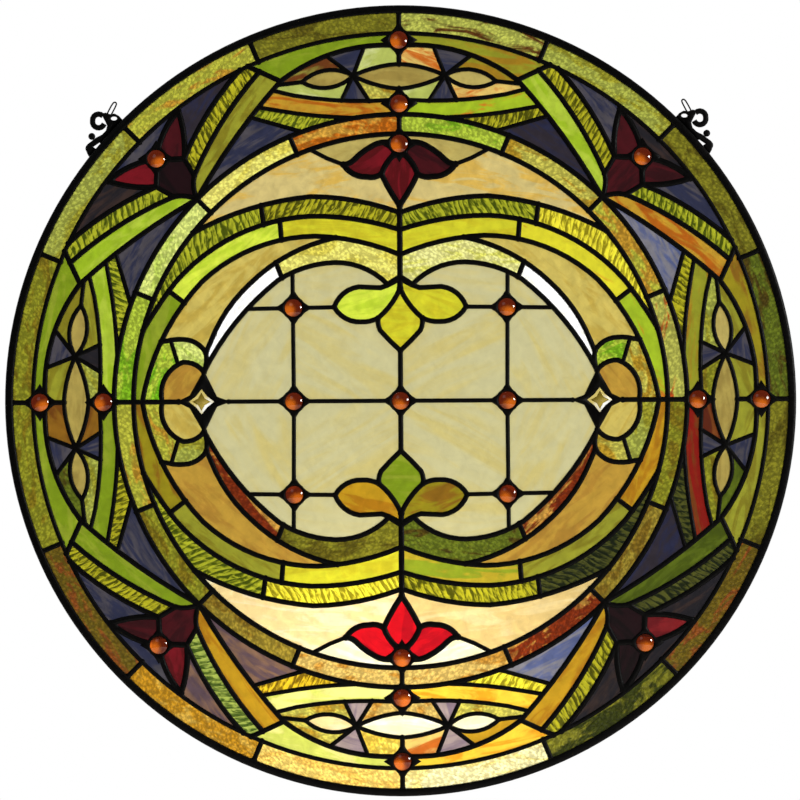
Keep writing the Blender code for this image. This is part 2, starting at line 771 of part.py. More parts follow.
def build_loops(parent):
    wire = new_material("hanging wire", LEAD, 0.4, 0.8)
    along = np.subtract(LOOP_TIP, LOOP_FOOT)
    aside = np.array([-along[1], along[0]]) / math.hypot(*along) * LOOP_WIDE / 2
    bends = [(0.0, -1.0), (0.8, -1.0), (1.0, -0.4), (1.0, 0.4), (0.8, 1.0), (0.0, 1.0)]
    depth = PLATE_THICK / 2 + GAP + WIRE_WIDE / 2
    for name, side in (("right", 1), ("left", -1)):
        curve = bpy.data.curves.new(f"wire_loop_{name}", "CURVE")
        curve.dimensions = "3D"
        curve.bevel_depth = WIRE_WIDE / 2 * MM
        curve.bevel_resolution = 0
        curve.render_resolution_u = 0
        curve.use_fill_caps = True
        spline = curve.splines.new("POLY")
        spline.points.add(len(bends) - 1)
        for point, (forward, across) in zip(spline.points, bends):
            x, z = scroll_place() + LOOP_FOOT + along * forward + aside * across
            point.co = (x * side * MM, depth * MM, z * MM, 1.0)
        curve.materials.append(wire)
        thing = bpy.data.objects.new(f"wire_loop_{name}", curve)
        bpy.context.scene.collection.objects.link(thing)
        thing.parent = parent


def main():
    clear_scene()
    hang_up = scroll_place()[1] + LOOP_TIP[1]
    panel = bpy.data.objects.new("panel", None)
    panel.location = (0.0, 0.0, -hang_up * MM)
    bpy.context.scene.collection.objects.link(panel)
    build_rim(panel)
    build_leading(panel)
    build_glass(panel)
    build_jewels(panel)
    build_diamonds(panel)
    build_brackets(panel)
    build_loops(panel)


main()
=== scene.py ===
"""Round stained glass window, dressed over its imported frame.

Places in the cartoon are millimetres from the middle of the disc, to the right and up, as the
panel is seen from the front. The panel hangs in the XZ plane and faces -Y.
"""

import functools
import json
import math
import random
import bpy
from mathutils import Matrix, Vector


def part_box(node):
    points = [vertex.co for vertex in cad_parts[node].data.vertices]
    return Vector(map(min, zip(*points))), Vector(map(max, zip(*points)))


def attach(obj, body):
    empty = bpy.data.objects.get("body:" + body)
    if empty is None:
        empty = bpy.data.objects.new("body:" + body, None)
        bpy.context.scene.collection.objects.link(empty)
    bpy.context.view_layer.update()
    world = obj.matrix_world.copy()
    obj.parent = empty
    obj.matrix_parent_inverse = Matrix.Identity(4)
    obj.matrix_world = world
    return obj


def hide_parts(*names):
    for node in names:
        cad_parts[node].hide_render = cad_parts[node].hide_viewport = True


bl_info = {
    "name": "Round Stained Glass Window",
    "version": (1, 0, 0),
    "blender": (4, 5, 0),
    "location": "3D View > Sidebar > Window",
    "description": "Builds the lead lines, glass, jewels, rim and hangers of a round leaded window",
    "category": "Object",
}

import bmesh
import bpy
import numpy as np
from bpy.props import FloatProperty, FloatVectorProperty, PointerProperty
from bpy.types import Operator, Panel, PropertyGroup
from mathutils import Matrix, Vector, noise
from mathutils.geometry import delaunay_2d_cdt

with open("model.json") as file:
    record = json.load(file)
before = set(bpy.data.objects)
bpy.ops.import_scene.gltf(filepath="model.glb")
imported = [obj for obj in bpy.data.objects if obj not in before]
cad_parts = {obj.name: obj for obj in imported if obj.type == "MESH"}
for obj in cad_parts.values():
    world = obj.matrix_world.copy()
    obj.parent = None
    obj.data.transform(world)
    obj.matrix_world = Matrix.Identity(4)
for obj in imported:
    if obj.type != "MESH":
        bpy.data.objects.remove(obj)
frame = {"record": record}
RIM_LOW, RIM_HIGH = (Vector(corner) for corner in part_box("rim"))
MIDDLE = (RIM_LOW + RIM_HIGH) / 2
MM = 0.001

# The lead rings of the cartoon, as radii of their middles, the rim's inner edge, how far inside it
# the border's lines stop, and the outer edge of the disc
RING_IN = 206.0
RING_OUT = 221.0
BORDER = 283.5
RIM_INSIDE = 299.3
RIM_GAP = 0.2
DISC_RADIUS = 305.0
ON_DIAGONAL = RING_OUT / math.sqrt(2)
RING_PANES = 16
RING_SIDES = 160

QUARTERS = {"top_right": (1, 1), "top_left": (-1, 1), "bottom_left": (-1, -1), "bottom_right": (1, -1)}
SIDES = {"right": (1, 0), "top": (0, 1), "left": (-1, 0), "bottom": (0, -1)}

# How wide a line is against the lead width, how far a loose end may lie from the line it meets, and
# how near two points of the drawing may come before they are made one
BROAD = 1.14
PLAIN = 1.0
SLIM = 0.84
LOOSE = 3.3
MERGE = 0.03

# Solder, in mm: how far a jewel's collar reaches past it, the reach and waist of the star behind
# the collar, and how far in from its edge such a plate is rounded. The blob on a line's end and its
# rounding are shares of the line's width, and the beading is the crown's unevenness as a share.
COLLAR = 2.3
STAR = (14.5, 8.6)
ROUNDED = 1.2
BLOB = 0.62
BLOB_ROUNDED = 0.45
BEADING = 0.35

# Lead lines of one eighth of the outer field: width, then place, bulge to the left, place, and so on
FIELD_LINES = [
    (PLAIN, [(3.9, 274.3), 8.1, (91.4, 246.9), 0, (116.5, 258.5)]),
    (PLAIN, [(91.4, 246.9), 3.1, (ON_DIAGONAL, ON_DIAGONAL)]),
    (PLAIN, [(107.6, 254.4), 3.9, (158.2, 174.4), 1.5, (ON_DIAGONAL, ON_DIAGONAL)]),
    (PLAIN, [(122.7, 255.8), 3.5, (165.9, 187.5), 0, (158.2, 174.4)]),
    (BROAD, [(170.5, 224.5), -2.0, (165.9, 187.5), 0, (175.2, 187.1), 0, (187.5, 187.5)]),
    (BROAD, [(170.5, 224.5), 3.1, (187.5, 187.5)]),
    (SLIM, [(0, 259.8), 1.8, (35.5, 250.8)]),
    (SLIM, [(0, 240.6), -1.8, (35.5, 250.8)]),
    (SLIM, [(35.5, 250.8), 0, (26.6, 272.8)]),
    (SLIM, [(35.5, 250.8), 0, (55.6, 265.3)]),
    (SLIM, [(35.5, 250.8), 6.8, (74.8, 246.1)]),
    (SLIM, [(35.5, 250.8), -6.8, (74.8, 246.1), 0, (93.4, 243.4)]),
    (SLIM, [(35.5, 250.8), 0, (23.1, 232.4)]),
    (SLIM, [(35.5, 250.8), 0, (44.4, 232.4)]),
    (SLIM, [(6.9, 232.0), -3.2, (96.5, 238.8)]),
    (SLIM, [(34.0, 218.4), -1.9, (109.2, 227.4)]),
    (SLIM, [(75.1, 207.9), 0, (113.8, 218.4)]),
]

# Lines on the axes of the outer field, once for each side
AXIS_LINES = [
    (PLAIN, [(0, 259.8), 0, (0, 277.2)]),
    (PLAIN, [(0, 229.2), 0, (0, 240.6)]),
]

# Lead lines of one quarter of the picture inside the ring
PICTURE_LINES = [
    (PLAIN, [(0, 145.1), 3.1, (68.3, 157.8), 5.0, (159.7, 130.1)]),
    (PLAIN, [(0, 131.9), 2.9, (68.7, 142.7), 12.0, (173.6, 91.8), 0.8, (198.5, 54.9)]),
    (PLAIN, [(0, 112.7), 3.1, (65.0, 127.3), 8.9, (152.8, 92.6), 7.7, (199.3, 0)]),
    (PLAIN, [(49.4, 126.0), 5.4, (115.7, 91.0), 4.2, (149.3, 37.8)]),
    (PLAIN, [(0, 96.0), 0, (9.6, 89.9), 4.6, (50.5, 106.9), 3.1, (94.1, 93.4), 5.0, (151.6, 22.9)]),
    (PLAIN, [(150.1, 38.0), 2.7, (167.8, 48.2), 0.9, (183.3, 45.9)]),
    (PLAIN, [(150.1, 38.0), -1.2, (151.6, 22.9)]),
    (PLAIN, [(151.6, 22.9), 2.3, (167.7, 30.6), 6.6, (183.9, 0)]),
    (PLAIN, [(0, 94.9), -0.8, (15.0, 87.2), 0, (32.0, 88.0), 3.5, (50.9, 72.5)]),
    (PLAIN, [(50.9, 72.5), 3.5, (29.9, 61.0), 0.9, (17.0, 63.9), 1.7, (0, 86.8)]),
    (PLAIN, [(17.0, 63.9), 0.8, (15.4, 54.2), 0.3, (0, 38.6)]),
    (BROAD, [(6.9, 199.1), 1.2, (20.1, 197.1), 0.8, (35.5, 185.6), -0.8, (43.2, 182.3)]),
    (BROAD, [(13.9, 174.8), -1.2, (25.5, 172.8), -2.7, (43.2, 182.3)]),
    (BROAD, [(4.2, 189.8), 1.2, (13.9, 174.8), 0.6, (0, 150.5)]),
    (SLIM, [(43.2, 182.3), 0, (55.6, 187.1), 0, (69.0, 194.1)]),
    (BROAD, [(0, 86.8), 0, (0, 150.5)]),
    (PLAIN, [(0, 0), 0, (0, 38.6)]),
    (SLIM, [(0, 0), 0, (132.7, 0)]),
    (SLIM, [(82.3, 0), 0, (82.3, 98.0)]),
    (SLIM, [(50.9, 72.3), 0, (118.5, 72.0)]),
    (PLAIN, [(171.3, 0), 0, (206.0, 0)]),
    (PLAIN, [(91.4, 95.7), 0, (96.1, 107.6)]),
    (PLAIN, [(91.4, 125.0), 0, (93.0, 142.0)]),
    (PLAIN, [(167.0, 76.8), 0, (177.5, 84.9)]),
    (PLAIN, [(105.7, 138.5), 0, (107.6, 153.5)]),
    (SLIM, [(172.8, 31.6), 0, (177.1, 47.1)]),
]

# Places of the round jewels and the faceted diamonds, and the solder plate round a diamond
GRID_AT = (82.3, 72.0)
TULIP_AT = 198.3
CORNER_AT = 187.5
OUTER_AT = 278.2
INNER_AT = 229.2
JEWELS = {
    "centre": (0, 0),
    "grid_left": (-GRID_AT[0], 0),
    "grid_right": (GRID_AT[0], 0),
    "tulip_top": (0, TULIP_AT),
    "tulip_bottom": (0, -TULIP_AT),
}
JEWELS |= {f"grid_{name}": (GRID_AT[0] * x, GRID_AT[1] * y) for name, (x, y) in QUARTERS.items()}
JEWELS |= {f"corner_{name}": (CORNER_AT * x, CORNER_AT * y) for name, (x, y) in QUARTERS.items()}
JEWELS |= {f"{name}_outer": (OUTER_AT * x, OUTER_AT * y) for name, (x, y) in SIDES.items()}
JEWELS |= {f"{name}_inner": (INNER_AT * x, INNER_AT * y) for name, (x, y) in SIDES.items()}
DIAMOND_AT = 153.5
DIAMOND_PLATE = [(131.0, 0), (141.6, 3.9), (150.2, 21.4), (151.6, 24.6), (153.4, 21.4)]
DIAMOND_PLATE += [(162.8, 4.9), (173.0, 0)]

# The bend in radians from which an edge of a jewel is sharp
SHARP = 0.6

# In metres: the width of the rim, the thickness and dome of a jewel, and of a diamond its thickness,
# the width and rise of its bevel, the width and depth of the step inside, and the pyramid's rise
RIM_WIDE = 0.0060
JEWEL_THICK = 0.0036
JEWEL_DOME = 0.0023
DIAMOND_THICK = 0.0029
BEVEL = (0.0024, 0.0018)
TABLE_STEP = (0.0009, 0.0008)
PYRAMID = 0.0016

# In mm: how far behind the panel's middle a jewel's dome and a diamond's bevel end, and the hanging
# wire lies, where less than nothing is in front of it, and the reach and waist of a diamond and of
# the hole that it sits in
JEWEL_FRONT = -2.2
DIAMOND_FRONT = -1.4
WIRE_DEPTH = 2.1
DIAMOND_SIZE = (9.6, 6.05)
DIAMOND_HOLE = (9.7, 6.0)

# The middle of the right scroll bracket, which stands this far outside the disc, at this angle
SCROLL_OUT = 12.7
BRACKET_TURN = math.radians(43.16)
SCROLL = (DISC_RADIUS + SCROLL_OUT) * np.array([math.cos(BRACKET_TURN), math.sin(BRACKET_TURN)])

# Surfaces of sheet glass: the material's name, the length and spacing of its streaks in mm, the
# softness of their edges, the roughness, how much light goes straight through, how the height of
# the surface (from, from) sets a brightness painted into the colour (to, to), and the depth of the
# bump in metres. That brightness is painted glints and shade on hammered, clear and rippled glass,
# and random mottling on the rest.
SURFACES = {
    # A roll with a hammered face left dimples and creases; their glitter is painted into the colour as
    # brighter and darker spots
    "hammered": ("hammered cathedral glass", 44, 15, 0.05, 0.28, 0.88, (0.12, 0.46, 0.66, 1.40), 0.0005),
    # The same roll on glass with no colour, which breaks up the white behind it with faint painted glints
    # and shade
    "clear": ("clear textured glass", 44, 15, 0.05, 0.08, 1.0, (0.12, 0.46, 0.86, 1.10), 0.0005),
    # The sheet was moved as it set, which left ripples; their crests are painted brighter and their hollows
    # painted darker, in the second colour
    "rippled": ("rippled cathedral glass", 60, 14, 0.08, 0.30, 0.88, (0.50, 0.95, 0.82, 1.22), 0.0006),
    # Two colours were ladled together and rolled flat, so that soft streaks glow side by side
    "streaky": ("streaky opalescent glass", 60, 12, 0.06, 0.42, 0.88, (0.32, 0.68, 0.90, 1.10), 0.0002),
    # Dark and pale glass were stirred together, which gives smoky swirls with little shine
    "swirled": ("swirled dark opalescent glass", 42, 7, 0.09, 0.38, 0.88, (0.32, 0.68, 0.90, 1.10), 0.0002),
    # Opal glass scatters light inside, so that it glows evenly, with faint wisps
    "opal": ("wispy opal glass", 90, 16, 0.14, 0.55, 0.88, (0.35, 0.65, 0.98, 1.02), 0.0002),
}

# Sheets of glass: how the surface was made, its main colour, the colour of its streaks, their share
SHEETS = {
    "moss": ("hammered", "#7c781e", "#5e5612", 0.40),
    "bark": ("hammered", "#b4b850", "#5c3410", 0.40),
    "olive": ("hammered", "#8c8c22", "#7c6c16", 0.40),
    "fern": ("hammered", "#5e6a1a", "#4a3c0e", 0.40),
    "sage": ("hammered", "#a8ae48", "#989428", 0.40),
    "bronze": ("hammered", "#6c5a16", "#86481a", 0.40),
    "brass": ("hammered", "#94802a", "#7c621a", 0.45),
    "forest": ("hammered", "#7e7c22", "#363c0c", 0.50),
    "honeycomb": ("hammered", "#b4b43a", "#bc8e2a", 0.38),
    "marigold": ("hammered", "#c48e1c", "#dcb044", 0.40),
    "apricot": ("hammered", "#fcda70", "#f4c458", 0.40),
    "straw": ("hammered", "#fdf4b4", "#f4de84", 0.35),
    "canary": ("hammered", "#f2de64", "#e4c244", 0.40),
    "flame": ("hammered", "#c06812", "#d4a03c", 0.36),
    "pearl": ("hammered", "#d4b460", "#b8842e", 0.38),
    "pearl_green": ("hammered", "#adc23a", "#7cb01c", 0.38),
    "pearl_rust": ("hammered", "#b4b450", "#b84a18", 0.28),
    "dew": ("hammered", "#dce87c", "#bcd05a", 0.40),
    "gilt": ("hammered", "#c6be50", "#b08c24", 0.42),
    "rust": ("hammered", "#7c2c0c", "#cc9840", 0.42),
    "ice": ("clear", "#ffffff", "#fffdf0", 0.35),
    "ice_green": ("hammered", "#f6f298", "#dcda64", 0.38),
    "champagne": ("hammered", "#f4ea74", "#e2d456", 0.42),
    "peridot": ("hammered", "#b4c83c", "#70b414", 0.42),
    "lime": ("streaky", "#9ebc22", "#b2c83c", 0.42),
    "grass": ("streaky", "#7e9616", "#90a028", 0.42),
    "lime_gold": ("streaky", "#949624", "#a07a1a", 0.38),
    "lime_flame": ("streaky", "#a6c024", "#d0781e", 0.33),
    "willow": ("streaky", "#98982a", "#847c1c", 0.42),
    "leaf": ("streaky", "#465406", "#5c6c12", 0.40),
    "pale_lime": ("streaky", "#f2ec8c", "#d4dc60", 0.40),
    "chartreuse": ("streaky", "#dcec48", "#c4dc34", 0.40),
    "mint": ("streaky", "#b6c05e", "#d2d890", 0.38),
    "mint_rust": ("streaky", "#8e8636", "#6c3812", 0.45),
    "lemon": ("streaky", "#d8d42c", "#ccc024", 0.42),
    "gold_lime": ("streaky", "#bca628", "#8c9c20", 0.44),
    "lemon_flame": ("streaky", "#e2da2e", "#d88c24", 0.26),
    "sunset": ("streaky", "#c4982a", "#b4600e", 0.44),
    "mango": ("streaky", "#c4981a", "#b07810", 0.42),
    "sunflower": ("streaky", "#f8d23c", "#f0a41c", 0.40),
    "peach": ("streaky", "#e8c86c", "#cc6a1c", 0.45),
    "khaki": ("streaky", "#988a16", "#8a6214", 0.40),
    "russet": ("streaky", "#8e6218", "#744410", 0.42),
    "chestnut": ("streaky", "#7c4216", "#5c220c", 0.45),
    "oxblood": ("streaky", "#8a1408", "#743c10", 0.36),
    "slate": ("swirled", "#4e4a50", "#2b2e46", 0.50),
    "midnight": ("swirled", "#2e2830", "#262842", 0.42),
    "ink": ("swirled", "#1f1d22", "#382a26", 0.40),
    "storm": ("swirled", "#807e86", "#56608a", 0.45),
    "lilac": ("swirled", "#a69490", "#847280", 0.45),
    "heather": ("swirled", "#5e4a52", "#84644e", 0.45),
    "tan": ("streaky", "#b09c4e", "#a08a42", 0.40),
    "biscuit": ("streaky", "#c0ae60", "#b4a054", 0.40),
    "wheat": ("streaky", "#d6c27c", "#dcb654", 0.36),
    "vanilla": ("streaky", "#e4c67e", "#eed698", 0.42),
    "peach_ivory": ("streaky", "#f8dc98", "#fce8bc", 0.42),
    "ivory": ("streaky", "#fdf4c4", "#fffbe4", 0.42),
    "honey": ("streaky", "#d2be60", "#c4aa4a", 0.40),
    "caramel": ("streaky", "#c09838", "#b08430", 0.42),
    "cream": ("opal", "#d0ca98", "#d2c47c", 0.40),
    "ruby": ("streaky", "#460a12", "#30060c", 0.42),
    "carmine": ("streaky", "#760e1a", "#56080e", 0.42),
    "scarlet": ("streaky", "#d40618", "#b40316", 0.38),
    "rose": ("streaky", "#821a1e", "#641016", 0.42),
    "garnet": ("streaky", "#1c0409", "#0e0204", 0.42),
    # For rippled glass the second colour is mostly the painted shade in the ripples' hollows
    "ripple_green": ("rippled", "#b0b428", "#4a5608", 0.40),
    "ripple_gold": ("rippled", "#bab422", "#525206", 0.40),
    "ripple_amber": ("rippled", "#e8c424", "#826408", 0.40),
    "ripple_bright": ("rippled", "#fcee3c", "#9c9016", 0.40),
    "ripple_pale": ("rippled", "#a8b850", "#48621a", 0.42),
    "ripple_dark": ("rippled", "#50521e", "#1a220e", 0.45),
}

# Panes that come eight times: a place in the right half of the top, then the glass of each, going
# round to the left: top right, top left, left upper, left lower, bottom left, bottom right, right
# lower and right upper
EIGHTHS = {
    "border_band": [
        ((58.3, 285.5), "bark moss olive olive apricot straw moss fern"),
        ((163.0, 243.0), "sage honeycomb sage bronze marigold forest bronze moss"),
    ],
    "inner_ring": [
        ((41.7, 209.4), "pearl_green flame pearl_green honeycomb pearl pearl olive pearl_rust"),
        ((118.6, 177.5), "gilt champagne dew olive brass rust brass honeycomb"),
    ],
    "field": [
        ((70.2, 265.9), "lime_gold grass grass grass pale_lime sunflower willow khaki"),
        ((18.3, 264.0), "peach mint willow russet canary peach willow willow"),
        ((41.0, 263.0), "slate slate slate slate lilac lilac slate slate"),
        ((69.8, 254.3), "lime_gold mint_rust willow fern gilt mango leaf willow"),
        ((56.7, 247.5), "biscuit tan tan tan peach_ivory ivory tan biscuit"),
        ((18.5, 237.5), "mint gilt sage russet pearl pearl chestnut olive"),
        ((35.8, 237.0), "slate slate ink slate lilac lilac slate slate"),
        ((67.0, 237.9), "peach mint willow sage gilt gilt olive sage"),
        ((59.5, 226.4), "lime_flame sunset lime grass pale_lime sunflower oxblood lime_gold"),
        (
            (85.6, 216.5),
            "ripple_gold ripple_green ripple_green ripple_gold "
            "ripple_amber ripple_bright ripple_dark ripple_gold",
        ),
        ((116.8, 197.5), "midnight slate slate slate heather storm midnight storm"),
        ((129.0, 212.0), "lime willow lime grass mango mango leaf sunset"),
        (
            (141.6, 219.2),
            "ripple_gold ripple_gold ripple_green ripple_gold "
            "ripple_pale ripple_gold ripple_dark ripple_green",
        ),
    ],
    "corner_tulip": [
        ((156.3, 224.4), "slate midnight ink slate heather ink ink slate"),
        ((175.8, 201.0), "ruby ruby carmine ruby carmine garnet rose ruby"),
    ],
}

# Panes that come once on each axis (top, left, bottom, right), or once in each corner in the same
# order as the quarters
AXES = {"field": [((0.0, 249.4), "tan tan ivory tan")]}
CORNERS = {
    "corner_tulip": [
        ((173.9, 171.3), "ruby garnet ruby garnet"),
        ((198.5, 195.9), "ink slate slate ink"),
    ]
}

# Panes that come in each quarter: top right, top left, bottom left, bottom right
PICTURE = {
    "tan_field": [
        ((40.8, 193.8), "biscuit biscuit ivory ivory"),
        ((74.0, 165.6), "wheat wheat peach_ivory vanilla"),
    ],
    "green_arches": [
        ((55.7, 146.3), "ripple_green ripple_gold ripple_bright ripple_gold"),
        ((149.7, 120.7), "ripple_bright ripple_green ripple_green ripple_dark"),
        ((45.7, 130.4), "lemon lemon lemon gold_lime"),
        ((137.0, 110.6), "lemon_flame chartreuse willow willow"),
        ((191.5, 47.4), "lime_flame grass khaki mango"),
    ],
    "crescent": [((136.5, 84.3), "honey honey caramel caramel")],
    "gold_arches": [
        ((43.7, 109.6), "ice_green champagne moss fern"),
        ((121.8, 74.7), "ice ice rust rust"),
    ],
    "cream_grid": [
        ((55.6, 90.1), "cream cream cream cream"),
        ((96.7, 81.8), "cream cream cream cream"),
        ((45.7, 31.8), "cream cream cream cream"),
        ((114.3, 31.8), "cream cream cream cream"),
    ],
    "fleur": [((30.0, 75.0), "lemon chartreuse mango khaki")],
    "horseshoe": [
        ((164.5, 37.0), "pearl_green dew sage gilt"),
        ((187.7, 22.3), "gilt peridot honeycomb sage"),
    ],
    "half_moon": [((170.8, 14.0), "caramel caramel honey honey")],
    "tulip": [((23.4, 183.8), "ruby carmine scarlet scarlet")],
}

# Panes on the upright axis inside the ring: top, bottom
UPRIGHT = {
    "fleur": [((0.0, 60.0), "lemon grass")],
    "tulip": [((0.0, 172.0), "carmine scarlet")],
}


def linear(colour):
    """A hex colour as it is seen, turned to the linear values that Blender's shaders take."""
    parts = [int(colour[i : i + 2], 16) / 255 for i in (1, 3, 5)]
    return tuple(p / 12.92 if p <= 0.04045 else ((p + 0.055) / 1.055) ** 2.4 for p in parts)


def length(name, default, description):
    """A length in metres that a user may set."""
    return FloatProperty(name=name, description=description, default=default, unit="LENGTH")


def tone(name, default, description):
    """A colour that a user may set."""
    colour = linear(default)
    return FloatVectorProperty(name=name, description=description, default=colour, subtype="COLOR")


class WindowSizes(PropertyGroup):
    """Sizes of the window's own work."""

    lead_wide: length("Lead Width", 0.0039, "Width of a soldered line between two panes")
    lead_edge: length("Lead Edge", 0.0017, "How far a line's edge stands over the middle of the glass")
    lead_crown: length("Solder Crown", 0.0010, "How far the round of the solder rises over the edge")
    glass_thick: length("Glass Thickness", 0.0030, "Thickness of the sheet glass")
    jewel_wide: length("Jewel Width", 0.0134, "Width of a round jewel inside its collar of solder")
    wire_thick: length("Wire Thickness", 0.0012, "Thickness of the wire in a hanging loop")


class WindowColours(PropertyGroup):
    """Colours of the metal and the jewels."""

    patina: tone("Patina", "#121110", "Black patina on the solder")
    casting: tone("Casting", "#100f0e", "Dull black of the cast scroll brackets")
    amber_deep: tone("Deep Amber", "#5c1a03", "Darker tone of the round jewels")
    # The pale amber is the painted glow that lies low in each jewel's dome
    amber_painted_glow: tone("Pale Amber", "#cc6410", "Lighter tone of the round jewels")
    diamond: tone("Diamond", "#3c2e02", "Deep gold of the faceted diamonds")
    # The lighter gold is painted light on one side of a diamond's table
    diamond_painted_light: tone("Pale Diamond", "#7a5e0c", "Lighter gold of the faceted diamonds")
    # The bevel is paler partly because its glass is thin and partly as painted light; its brightest part is
    # a painted white glare
    diamond_edge: tone("Diamond Edge", "#d2be6c", "Gold of the thin bevelled edge of a diamond")
    diamond_painted_glare: tone("Bright Diamond Edge", "#fffffa", "Nearly white part of a diamond's bevel")


def arc(start, end, bulge, slack=0.1):
    """Points from start to end on the circle that rises by bulge to the left of the chord.

    The straight steps between them stay within slack of the circle.
    """
    start = np.array(start, float)
    end = np.array(end, float)
    along = end - start
    chord = math.hypot(*along)
    if abs(bulge) < 0.01:
        return np.stack([start, end])
    half = 2 * math.atan2(2 * abs(bulge), chord)
    radius = chord / (2 * math.sin(half))
    steps = max(2, math.ceil(half / math.acos(1 - slack / radius)))
    turns = np.linspace(-half, half, steps + 1)
    forward = chord / 2 + radius * np.sin(turns)
    aside = radius * (np.cos(turns) - math.cos(half)) * math.copysign(1, bulge)
    unit = along / chord
    left = np.array([-unit[1], unit[0]])
    return start + np.outer(forward, unit) + np.outer(aside, left)


def chain(steps):
    """Points along places that take turns with the bulge of the arc between them."""
    line = [np.array([steps[0]], float)]
    for index in range(1, len(steps), 2):
        line.append(arc(steps[index - 1], steps[index + 1], steps[index])[1:])
    return np.vstack(line)


def circle(radius, sides=RING_SIDES, centre=(0, 0)):
    angles = np.arange(sides) * 2 * math.pi / sides
    return np.stack([centre[0] + radius * np.cos(angles), centre[1] + radius * np.sin(angles)], -1)


def closed(loop):
    """The outline as a run of points that ends where it starts."""
    return np.vstack([loop, loop[:1]])


def four_ways(line):
    """The line in all four quarters, once where its mirror image is the same line."""
    upright, level = (abs(line[:, axis]).max() < 0.1 for axis in (0, 1))
    return [line * way for way in QUARTERS.values() if not (upright and way[0] < 0 or level and way[1] < 0)]


def cartoon():
    """Every lead line of the window but the rings: its width and its run of points."""
    lines = []
    for wide, steps in FIELD_LINES + AXIS_LINES:
        line = chain(steps)
        lines += [(wide, copy) for copy in four_ways(line) + four_ways(line[:, ::-1])]
    for wide, steps in PICTURE_LINES:
        lines += [(wide, copy) for copy in four_ways(chain(steps))]
    for index in range(RING_PANES):
        angle = index * 2 * math.pi / RING_PANES
        way = np.array([math.cos(angle), math.sin(angle)])
        lines.append((PLAIN, np.stack([way * RING_IN, way * RING_OUT])))
        lines.append((PLAIN, np.stack([way * BORDER, way * (RIM_INSIDE - RIM_GAP)])))
    settle([line for _, line in lines])
    return lines


def settle(lines):
    """Moves each loose end on to the middle of the line or ring that it meets."""
    rings = [closed(circle(radius)) for radius in (RING_IN, RING_OUT, BORDER)]
    for line in lines:
        others = [other for other in lines + rings if other is not line]
        start = np.vstack([other[:-1] for other in others])
        along = np.vstack([np.diff(other, axis=0) for other in others])
        for end in (0, -1):
            share = ((line[end] - start) * along).sum(axis=1) / (along**2).sum(axis=1)
            near = start + np.clip(share, 0, 1)[:, None] * along
            far = np.hypot(*(near - line[end]).T)
            if far.min() < LOOSE:
                line[end] = near[far.argmin()]


def ribbon(line, width):
    """The outline of a band of this width along a line, with mitred bends."""
    steps = np.diff(line, axis=0)
    steps /= np.hypot(steps[:, 0], steps[:, 1])[:, None]
    normals = np.stack([-steps[:, 1], steps[:, 0]], -1)
    first = np.vstack([normals[:1], normals])
    second = np.vstack([normals, normals[-1:]])
    mitre = (first + second) / (1 + (first * second).sum(-1))[:, None]
    offset = mitre * width / 2
    return np.vstack([line + offset, (line - offset)[::-1]])


def near_to(points, loop, reach=0.0):
    """The numbers of the points in the box round this outline, or this far outside it."""
    low, high = loop.min(axis=0) - reach, loop.max(axis=0) + reach
    return np.flatnonzero(((points >= low) & (points <= high)).all(axis=1))


def inside(points, loop):
    """Which points lie inside this closed outline."""
    odd = np.zeros(len(points), bool)
    near = near_to(points, loop)
    x, y = points[near].T
    hit = np.zeros(len(near), bool)
    for (x0, y0), (x1, y1) in zip(loop, np.roll(loop, -1, axis=0)):
        if y0 != y1:
            hit ^= ((y0 > y) != (y1 > y)) & (x < x0 + (y - y0) * (x1 - x0) / (y1 - y0))
    odd[near] = hit
    return odd


def away_from(points, line):
    """How far each point is from a run of points."""
    start, along = line[:-1], np.diff(line, axis=0)
    squared = (along**2).sum(axis=1)
    share = ((points[:, None] - start) * along).sum(-1) / np.where(squared > 0, squared, 1)
    nearest = start + np.clip(share, 0, 1)[..., None] * along
    return np.hypot(*np.moveaxis(points[:, None] - nearest, -1, 0)).min(axis=1)


def rising(points, loop, reach):
    """How high a rounded edge stands at each point, from 0 on the outline to 1 this far from it."""
    edge = away_from(points, closed(loop)) / reach
    return np.sqrt(np.clip(1 - (1 - np.clip(edge, 0, 1)) ** 2, 0, 1))


